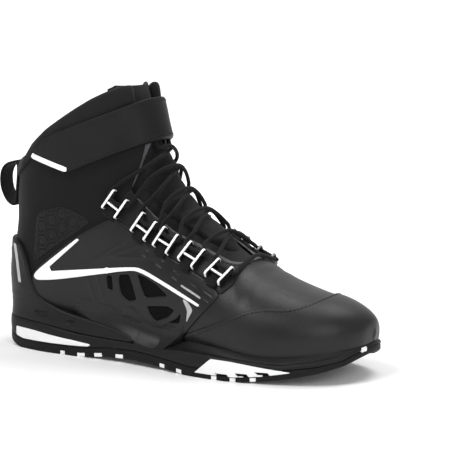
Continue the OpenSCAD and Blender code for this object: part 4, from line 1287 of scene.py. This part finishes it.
def round_rect(x0, x1, y0, y1, r, count):
    """Closed rectangle with rounded corners, as count points evenly spaced."""
    points = []
    for cx, cy, start in ((x1 - r, y1 - r, 0), (x0 + r, y1 - r, 90), (x0 + r, y0 + r, 180),
                          (x1 - r, y0 + r, 270)):
        for k in range(7):
            c = math.radians(start + 15 * k)
            points.append((cx + r * math.cos(c), cy + r * math.sin(c)))
    points = np.array(points + points[:1])
    length = np.concatenate([[0], np.cumsum(np.linalg.norm(np.diff(points, axis=0), axis=1))])
    at = np.linspace(0, length[-1], count + 1)[:-1]
    return np.stack([np.interp(at, length, points[:, k]) for k in (0, 1)], 1)


def cheek(x0, x1):
    """One side plate of a keeper with the lace's hole through it."""
    count, b, hole, top = 64, 0.4, 2.0, 5.2
    outer, inset = round_rect(-7.8, 8.3, 0, top, 1.6, count), round_rect(-7.8 + b, 8.3 - b, b, top - b, 1.2,
                                                                         count)
    centre = np.array([5, 2.9])
    way = outer - centre
    way /= np.linalg.norm(way, axis=1)[:, None]
    rings = []
    for x, ring in ((x0 + b, centre + hole * way), (x0, centre + (hole + b) * way), (x0, inset),
                    (x0 + b, outer),
                    (x1 - b, outer), (x1, inset), (x1, centre + (hole + b) * way),
                    (x1 - b, centre + hole * way)):
        rings.append(np.column_stack([np.full(count, x), ring]))
    n = len(rings)
    faces = [[i * count + j, i * count + (j + 1) % count, (i + 1) % n * count + (j + 1) % count,
              (i + 1) % n * count + j]
             for i in range(n) for j in range(count)]
    return np.concatenate(rings), faces


def bar(x0, x1, y0, y1, z0, z1, r, count=28):
    """A rounded bar along x."""
    rings = []
    for x, inset in ((x0, 0.5), (x0 + 0.2, 0.15), (x0 + 0.5, 0), (x1 - 0.5, 0), (x1 - 0.2, 0.15), (x1, 0.5)):
        ring = round_rect(y0 + inset, y1 - inset, z0 + inset, z1 - inset, max(r - inset, 0.05), count)
        rings.append(np.column_stack([np.full(count, x), ring]))
    faces = grid_faces(len(rings), count, True).tolist()
    faces += [list(range(count))[::-1], [(len(rings) - 1) * count + k for k in range(count)]]
    return np.concatenate(rings), faces


def joined(parts):
    points, faces, count = [], [], 0
    for p, f in parts:
        points.append(p)
        faces += [[v + count for v in face] for face in f]
        count += len(p)
    return np.concatenate(points), faces


def outward(o):
    """Turns every face outwards."""
    import bmesh
    bm = bmesh.new()
    bm.from_mesh(o.data)
    bmesh.ops.recalc_face_normals(bm, faces=bm.faces)
    bm.to_mesh(o.data)
    bm.free()
    return o


def edge_strip(x, half=0.85, thick=0.9):
    """Bright strip that runs over the edge of a cheek from foot to foot."""
    path = [[-8.1, 0.5], [-8.1, 3.2]]
    for cy, start in ((-6.3, 180), (6.8, 90)):
        path += [[cy + 1.8 * math.cos(math.radians(start - 15 * k)),
                  3.7 + 1.8 * math.sin(math.radians(start - 15 * k))]
                 for k in range(7)]
    path = np.array(path + [[8.6, 3.2], [8.6, 0.5]])
    way = np.gradient(path, axis=0)
    way /= np.linalg.norm(way, axis=1)[:, None]
    inward = np.stack([way[:, 1], -way[:, 0]], 1)
    rings = []
    for p, n in zip(path, inward):
        ring = round_rect(x - half, x + half, 0, thick, 0.35, 20)
        rings.append(np.column_stack([ring[:, 0], p[0] + ring[:, 1] * n[0], p[1] + ring[:, 1] * n[1]]))
    count = len(rings[0])
    faces = grid_faces(len(rings), count, True).tolist()
    faces += [list(range(count))[::-1], [(len(rings) - 1) * count + k for k in range(count)]]
    return np.concatenate(rings), faces


EDGES = joined([edge_strip(-6.2), edge_strip(6.2), bar(-5.6, 5.6, -2.7, -1.1, 2.9, 4.7, 0.7)])
CHEEKS = joined([cheek(-7.2, -5.2), cheek(5.2, 7.2), bar(-5.4, 5.4, -3, -0.4, 1.4, 3.2, 0.6)])
TAB = bar(-4.6, 4.6, -12, 1, 0, 1.2, 0.5)
for side, name, slot in ((-1, "keepers_lateral", "keeper_white"), (1, "keepers_medial", "keeper_grey")):
    for shape, part, material in ((EDGES, name, MAT[slot]), (CHEEKS, name + "_cheeks", MAT["keeper_body"])):
        parts = []
        for i in range(5):
            p, axes = keeper_frame(i, side)
            parts.append((p + shape[0] @ axes, shape[1]))
        finish_piece(outward(add_mesh(part, *joined(parts), 50)), "boot", slot, material, name)
parts = []
for side in (-1, 1):
    for i in range(5):
        p, axes = keeper_frame(i, side)
        parts.append((p + TAB[0] @ axes, TAB[1]))
finish_piece(outward(add_mesh("keeper_tabs", *joined(parts), 50)), "boot", "webbing", MAT["webbing"],
             "keeper_tabs")

# ---- Lace ----

ARCH, ARCH_RISE, CROSS_LOW, CROSS_HIGH, TUNNEL_END = 150, 3.2, 2, 5.4, 8.4


def side_skin(u, angle, side, d):
    return skin(u, angle if side > 0 else 360 - angle, d)


def run(i, side, way):
    p, axes = keeper_frame(i, side)
    return [p + np.array([k * way * TUNNEL_END, 5, 2.9]) @ axes for k in (-1, 1)]


def leg(i, side):
    u, step = KEEPERS[i][0], KEEPERS[i + 1][0] - KEEPERS[i][0]
    return [side_skin(u + step / 4, ARCH, side, ARCH_RISE),
            side_skin(u + step / 2, 180, side, CROSS_HIGH if side < 0 else CROSS_LOW),
            side_skin(u + step * 3 / 4, ARCH, -side, ARCH_RISE)]


def lace_half(first):
    out = []
    for i in range(5):
        side = first if i % 2 == 0 else -first
        out += run(i, side, 1) + (leg(i, side) if i < 4 else [])
    return out


def lace_end(side):
    return [side_skin(13.9, 168, side, -0.1), side_skin(13, 168, side, -0.1), side_skin(12.3, 168, side, 0.1),
            side_skin(11.7, 180, side, CROSS_HIGH if side < 0 else CROSS_LOW),
            side_skin(11.5, ARCH, -side, ARCH_RISE)]


BAR_U = 5.7
lace_bar = [side_skin(BAR_U, ARCH, -1, ARCH_RISE), side_skin(BAR_U, 180, 1, ARCH_RISE),
            side_skin(BAR_U, ARCH, 1, ARCH_RISE)]
route = lace_end(1) + lace_half(-1) + lace_bar + lace_half(1)[::-1] + lace_end(-1)[::-1]


def tube(name, path, radius, sides=16, braid=0.0, pitch=4.2):
    """A round tube along a path of points, with braided strands standing out by a share of its radius."""
    path = np.asarray(path, float)
    way = np.gradient(path, axis=0)
    way /= np.linalg.norm(way, axis=1)[:, None]
    length = np.concatenate([[0], np.cumsum(np.linalg.norm(np.diff(path, axis=0), axis=1))])
    a = unit(np.cross(way[0], [0.3, 0.2, 0.9]))
    angle = np.linspace(0, 2 * math.pi, sides, endpoint=False)
    points = []
    for k, (p, w) in enumerate(zip(path, way)):
        a = unit(a - (a @ w) * w)
        b = np.cross(w, a)
        turn = 2 * math.pi * length[k] / pitch
        r = radius * (1 - braid * (1 - np.abs(np.sin(4 * angle + turn) * np.sin(4 * angle - turn)) ** 0.5))
        points.append(p + (r * np.cos(angle))[:, None] * a + (r * np.sin(angle))[:, None] * b)
    faces = grid_faces(len(path), sides, True).tolist()
    faces += [list(range(sides))[::-1], [(len(path) - 1) * sides + k for k in range(sides)]]
    return outward(add_mesh(name, np.concatenate(points), faces, 60))


lace_path = rows(route, np.linspace(0, len(route) - 1, 1500))
lace_length = float(np.linalg.norm(np.diff(lace_path, axis=0), axis=1).sum())
print(f"lace {lace_length:.0f} mm")
finish_piece(tube("lace", lace_path, 1.5, 20, 0.13), "boot", "lace_cord", MAT["lace_cord"], "lace")
parts = []
for side in (-1, 1):
    p, q = lace_end(side)[:2]
    way = unit(p - q)
    parts.append(tube(f"aglet_{'lateral' if side < 0 else 'medial'}",
                      [p + way * t for t in (0, 0.5, 3, 6, 9, 11.4, 12)], 1.3, 16))
for o in parts:
    finish_piece(o, "boot", "aglet_plastic", MAT["aglet_plastic"], "aglets")

# ---- Strap ----

STRAP_EDGE = soft(STRAP, corners=(0, 1, 4, 5, 8), tight=4)
BASE_EDGE = soft(STRAP_BASE, corners=(0, 3, 4, 7), tight=4)


def strap_region(p):
    x, y, z = p[..., 0], p[..., 1], p[..., 2]
    return np.where(y < 0, inside(STRAP_EDGE, x, z), inside(BASE_EDGE, x, z))


def bend(o, slot, material, *nodes):
    """A strap piece with its material set, its place baked into its mesh and the CAD nodes it replaces
    hidden.
    """
    o.data.materials.clear()
    o.data.materials.append(material)
    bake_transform(o)
    if nodes:
        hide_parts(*nodes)
    return o


bend(sheet("strap", strap_region, STRAP_IN, STRAP_OUT, (12, 17.95), (60, 325), (0.04, 1), edge=1.2,
           solid=True),
             "strap_leather", MAT["strap_leather"], "strap_flap", "strap_base")
finish_piece(sheet("strap_anchor", within(soft(ANCHOR, cut=3)), -0.2, STRAP_IN, (13.4, 17.8), (60, 160),
                   (0.05, 1)),
             "boot", "webbing", MAT["webbing"], "strap_anchor")
PATCH_EDGE = soft(PATCH, cut=4)
finish_piece(sheet("strap_hook", within(PATCH_EDGE), 1.3, STRAP_IN, (13.4, 17.8), (215, 325), (0.05, 1),
                   edge=0.3, solid=True),
             "strap", "hook_tape", MAT["hook_tape"], "strap_hook")
finish_piece(sheet("strap_loop", within(PATCH_EDGE), -0.2, 1, (13.4, 17.8), (215, 325), (0.05, 1), edge=0.4),
             "boot", "loop_tape", MAT["loop_tape"], "strap_loop")
CHIP = soft([[-5, 148.3], [26, 137.3], [27, 141], [-3, 151.6]], cut=1.2)
finish_piece(sheet("strap_chip", within(CHIP, extra=lambda p: strap_region(p) - 0.3), STRAP_OUT - 0.3,
                   STRAP_OUT + 0.4, (13, 17.9),
                   (215, 325), (0.02, 0.5), edge=0.25), "strap", "white_trim", MAT["white_trim"],
                   "strap_chip")


def badge(p):
    bars = [soft([[40 + 9 * k, 149 + 3.2 * k], [45 + 9 * k, 150.8 + 3.2 * k], [53 + 9 * k, 171 + 3.4 * k],
                  [48 + 9 * k, 169.2 + 3.4 * k]], cut=0.8) for k in range(3)]
    return np.max([inside(b, p[..., 0], p[..., 2]) for b in bars], 0)


finish_piece(sheet("strap_badge", badge, STRAP_OUT - 0.3, STRAP_OUT + 0.4, (13, 17.9), (70, 170),
                   (0.02, 0.5), edge=0.25),
             "boot", "white_trim", MAT["white_trim"], "strap_badge")

# ---- Pull loop ----


def pull_loop():
    """Webbing folded into a loop, 16 mm wide, with rounded edges."""
    n = len(LOOP)
    closed = np.array([LOOP[(k - 1) % n] for k in range(n + 3)], float)
    line = rows(closed, 1 + np.linspace(0, n, 97)[:-1])
    way = np.roll(line, -1, 0) - np.roll(line, 1, 0)
    way /= np.linalg.norm(way, axis=1)[:, None]
    out = np.stack([-way[:, 1], way[:, 0]], 1)
    if np.mean(((line - line.mean(0)) * out).sum(1)) < 0:
        out = -out
    section = round_rect(-8, 8, -2, 0, 0.8, 40)
    points = []
    for p, o in zip(line, out):
        for y, depth in section:
            points.append([p[0] + depth * o[0], y, p[1] + depth * o[1]])
    m = len(section)
    k = len(line)
    faces = [[i * m + j, i * m + (j + 1) % m, (i + 1) % k * m + (j + 1) % m, (i + 1) % k * m + j]
             for i in range(k) for j in range(m)]
    return outward(add_mesh("pull_loop", points, faces, 60))


finish_piece(pull_loop(), "pull_loop", "webbing", MAT["webbing"], "pull_loop")


def loop_root():
    """The stitched root of the pull loop, which the loop swings about."""
    x, z = LOOP[0]
    points, faces = bar(x - 1.6, x + 4, -8, 8, z - 1.4, z + 1.4, 1.2, 16)
    return outward(add_mesh("pull_loop_root", points, faces, 60))


finish_piece(loop_root(), "boot", "webbing", MAT["webbing"])

# ---- Stitching ----

upper_lines = []
upper_lines += stitch_line(toe_region, 2.2, PANEL_OUT + 0.1, (-0.9, 8), FULL, (0.05, 1.2),
                           where=lambda p: p[:, 2] > 30)
upper_lines += stitch_line(within(PANEL_EDGE), 2.0, PANEL_OUT + 0.1, (5.2, 13), (215, 352), (0.04, 1),
                           where=lambda p: (p[:, 2] > 60) & (p[:, 0] < 158))
upper_lines += stitch_line(medial_region, 2.0, PANEL_OUT + 0.1, (5.2, 13), (8, 145), (0.05, 1),
                           where=lambda p: p[:, 2] > 30)
for s_range in ((181, 290), (70, 179)):
    upper_lines += stitch_line(eyestay_region, 1.8, PANEL_OUT + 0.1, (5, 12.6), s_range, (0.04, 0.8))
upper_lines += stitch_line(within([[-60, 84], [-20, 84], [-20, 128], [-60, 127]], width=11), 2,
                           PANEL_OUT + 0.1,
                           (13, 17.8), (-60, 60), (0.04, 1.2), where=lambda p: p[:, 2] > 88)
stitches("upper_stitching", upper_lines, MAT["thread"])
strap_stitches = stitches("strap_stitching",
                          stitch_line(strap_region, 2.6, STRAP_OUT + 0.1, (12, 17.95), (60, 325), (0.04, 1)),
                          MAT["thread"])
strap_stitches.parent = None
del strap_stitches["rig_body"]
bend(strap_stitches, "webbing", MAT["thread"])

# ---- Bar tacks ----


def bar_tacks():
    """Short white bars of thread across the edge of the medial eyestay."""
    parts = []
    for u in np.linspace(10.3, 5.75, 9):
        angles = np.arange(100.0, 179.0, 0.25)
        p = skin(np.full(len(angles), u), angles, 0)
        edge = inside(THROAT_EDGE, p[:, 0], p[:, 2]) > 0
        angle = angles[np.argmax(edge)] if edge.any() else 178.0
        a, b = skin(u, angle - 4.0, PANEL_OUT + 0.3), skin(u, angle - 0.6, PANEL_OUT + 0.3)
        along = skin(u + 0.05, angle - 2, PANEL_OUT) - skin(u - 0.05, angle - 2, PANEL_OUT)
        x = unit(b - a)
        out = unit(np.cross(x, along))
        out = out if out @ (a - skin(u, angle - 2, -3)) > 0 else -out
        axes = np.array([x, np.cross(out, x), out])
        points, faces = bar(0, float(np.linalg.norm(b - a)), -0.6, 0.6, -0.4, 0.4, 0.35, 16)
        parts.append((a + points @ axes, faces))
    return outward(add_mesh("bar_tacks", *joined(parts), 50))


finish_piece(bar_tacks(), "boot", "white_trim", MAT["white_trim"])

# ---- Studio ----


def make_floor():
    mesh = bpy.data.meshes.new("floor")
    size = 6
    mesh.from_pydata([(-size, -size, 0), (size, -size, 0), (size, size, 0), (-size, size, 0)], [],
                     [(0, 1, 2, 3)])
    floor = bpy.data.objects.new("floor", mesh)
    bpy.context.scene.collection.objects.link(floor)
    m, nodes, links, p, coord = shader("floor", 0.6, 0.2)
    links.new(ramp(nodes, links, noise(nodes, links, coord, 3, 2), [(0.3, 0.86), (0.7, 0.88)]),
              p.inputs["Base Color"])
    # Painted light: the floor glows by its own emission, dim near the boot so the shade round it shows, and
    # stronger with distance so the far floor reads white.
    away = nodes.new("ShaderNodeVectorMath")
    away.operation = "LENGTH"
    links.new(coord, away.inputs[0])
    links.new(ramp(nodes, links, away.outputs["Value"], [(0.22, 0.04), (0.6, 0.6)]),
              p.inputs["Emission Color"])
    p.inputs["Emission Strength"].default_value = 1.0
    mesh.materials.append(m)


def area_light(name, place, aim, size, power):
    data = bpy.data.lights.new(name, "AREA")
    data.shape, data.size, data.energy = "DISK", size, power
    light = bpy.data.objects.new(name, data)
    light.location = place
    light.rotation_mode = "QUATERNION"
    light.rotation_quaternion = (Vector(aim) - Vector(place)).to_track_quat("-Z", "Y")
    bpy.context.scene.collection.objects.link(light)


make_floor()
world = bpy.data.worlds.new("studio")
world.use_nodes = True
nodes, links = world.node_tree.nodes, world.node_tree.links
# A white backdrop behind the boot, with the room darker towards the other sides
behind = nodes.new("ShaderNodeVectorMath")
behind.operation = "DOT_PRODUCT"
behind.inputs[1].default_value = (-math.sin(AZIMUTH), math.cos(AZIMUTH), 0.0)
links.new(nodes.new("ShaderNodeTexCoord").outputs["Generated"], behind.inputs[0])
shade = ramp(nodes, links, behind.outputs["Value"], [(0.0, 0.35), (0.55, 0.45), (0.8, 1.0)])
links.new(shade, nodes["Background"].inputs["Color"])
nodes["Background"].inputs["Strength"].default_value = 1.0
bpy.context.scene.world = world
area_light("key", (-0.3, -1.0, 1.5), (0.08, 0, 0.08), 0.9, 20)
area_light("fill", (1.4, -1.0, 0.9), (0.12, 0, 0.08), 0.8, 9)
area_light("top", (0.4, 0.6, 1.6), (0.1, 0, 0.1), 1.0, 14)
bpy.context.scene.view_settings.view_transform = "Standard"
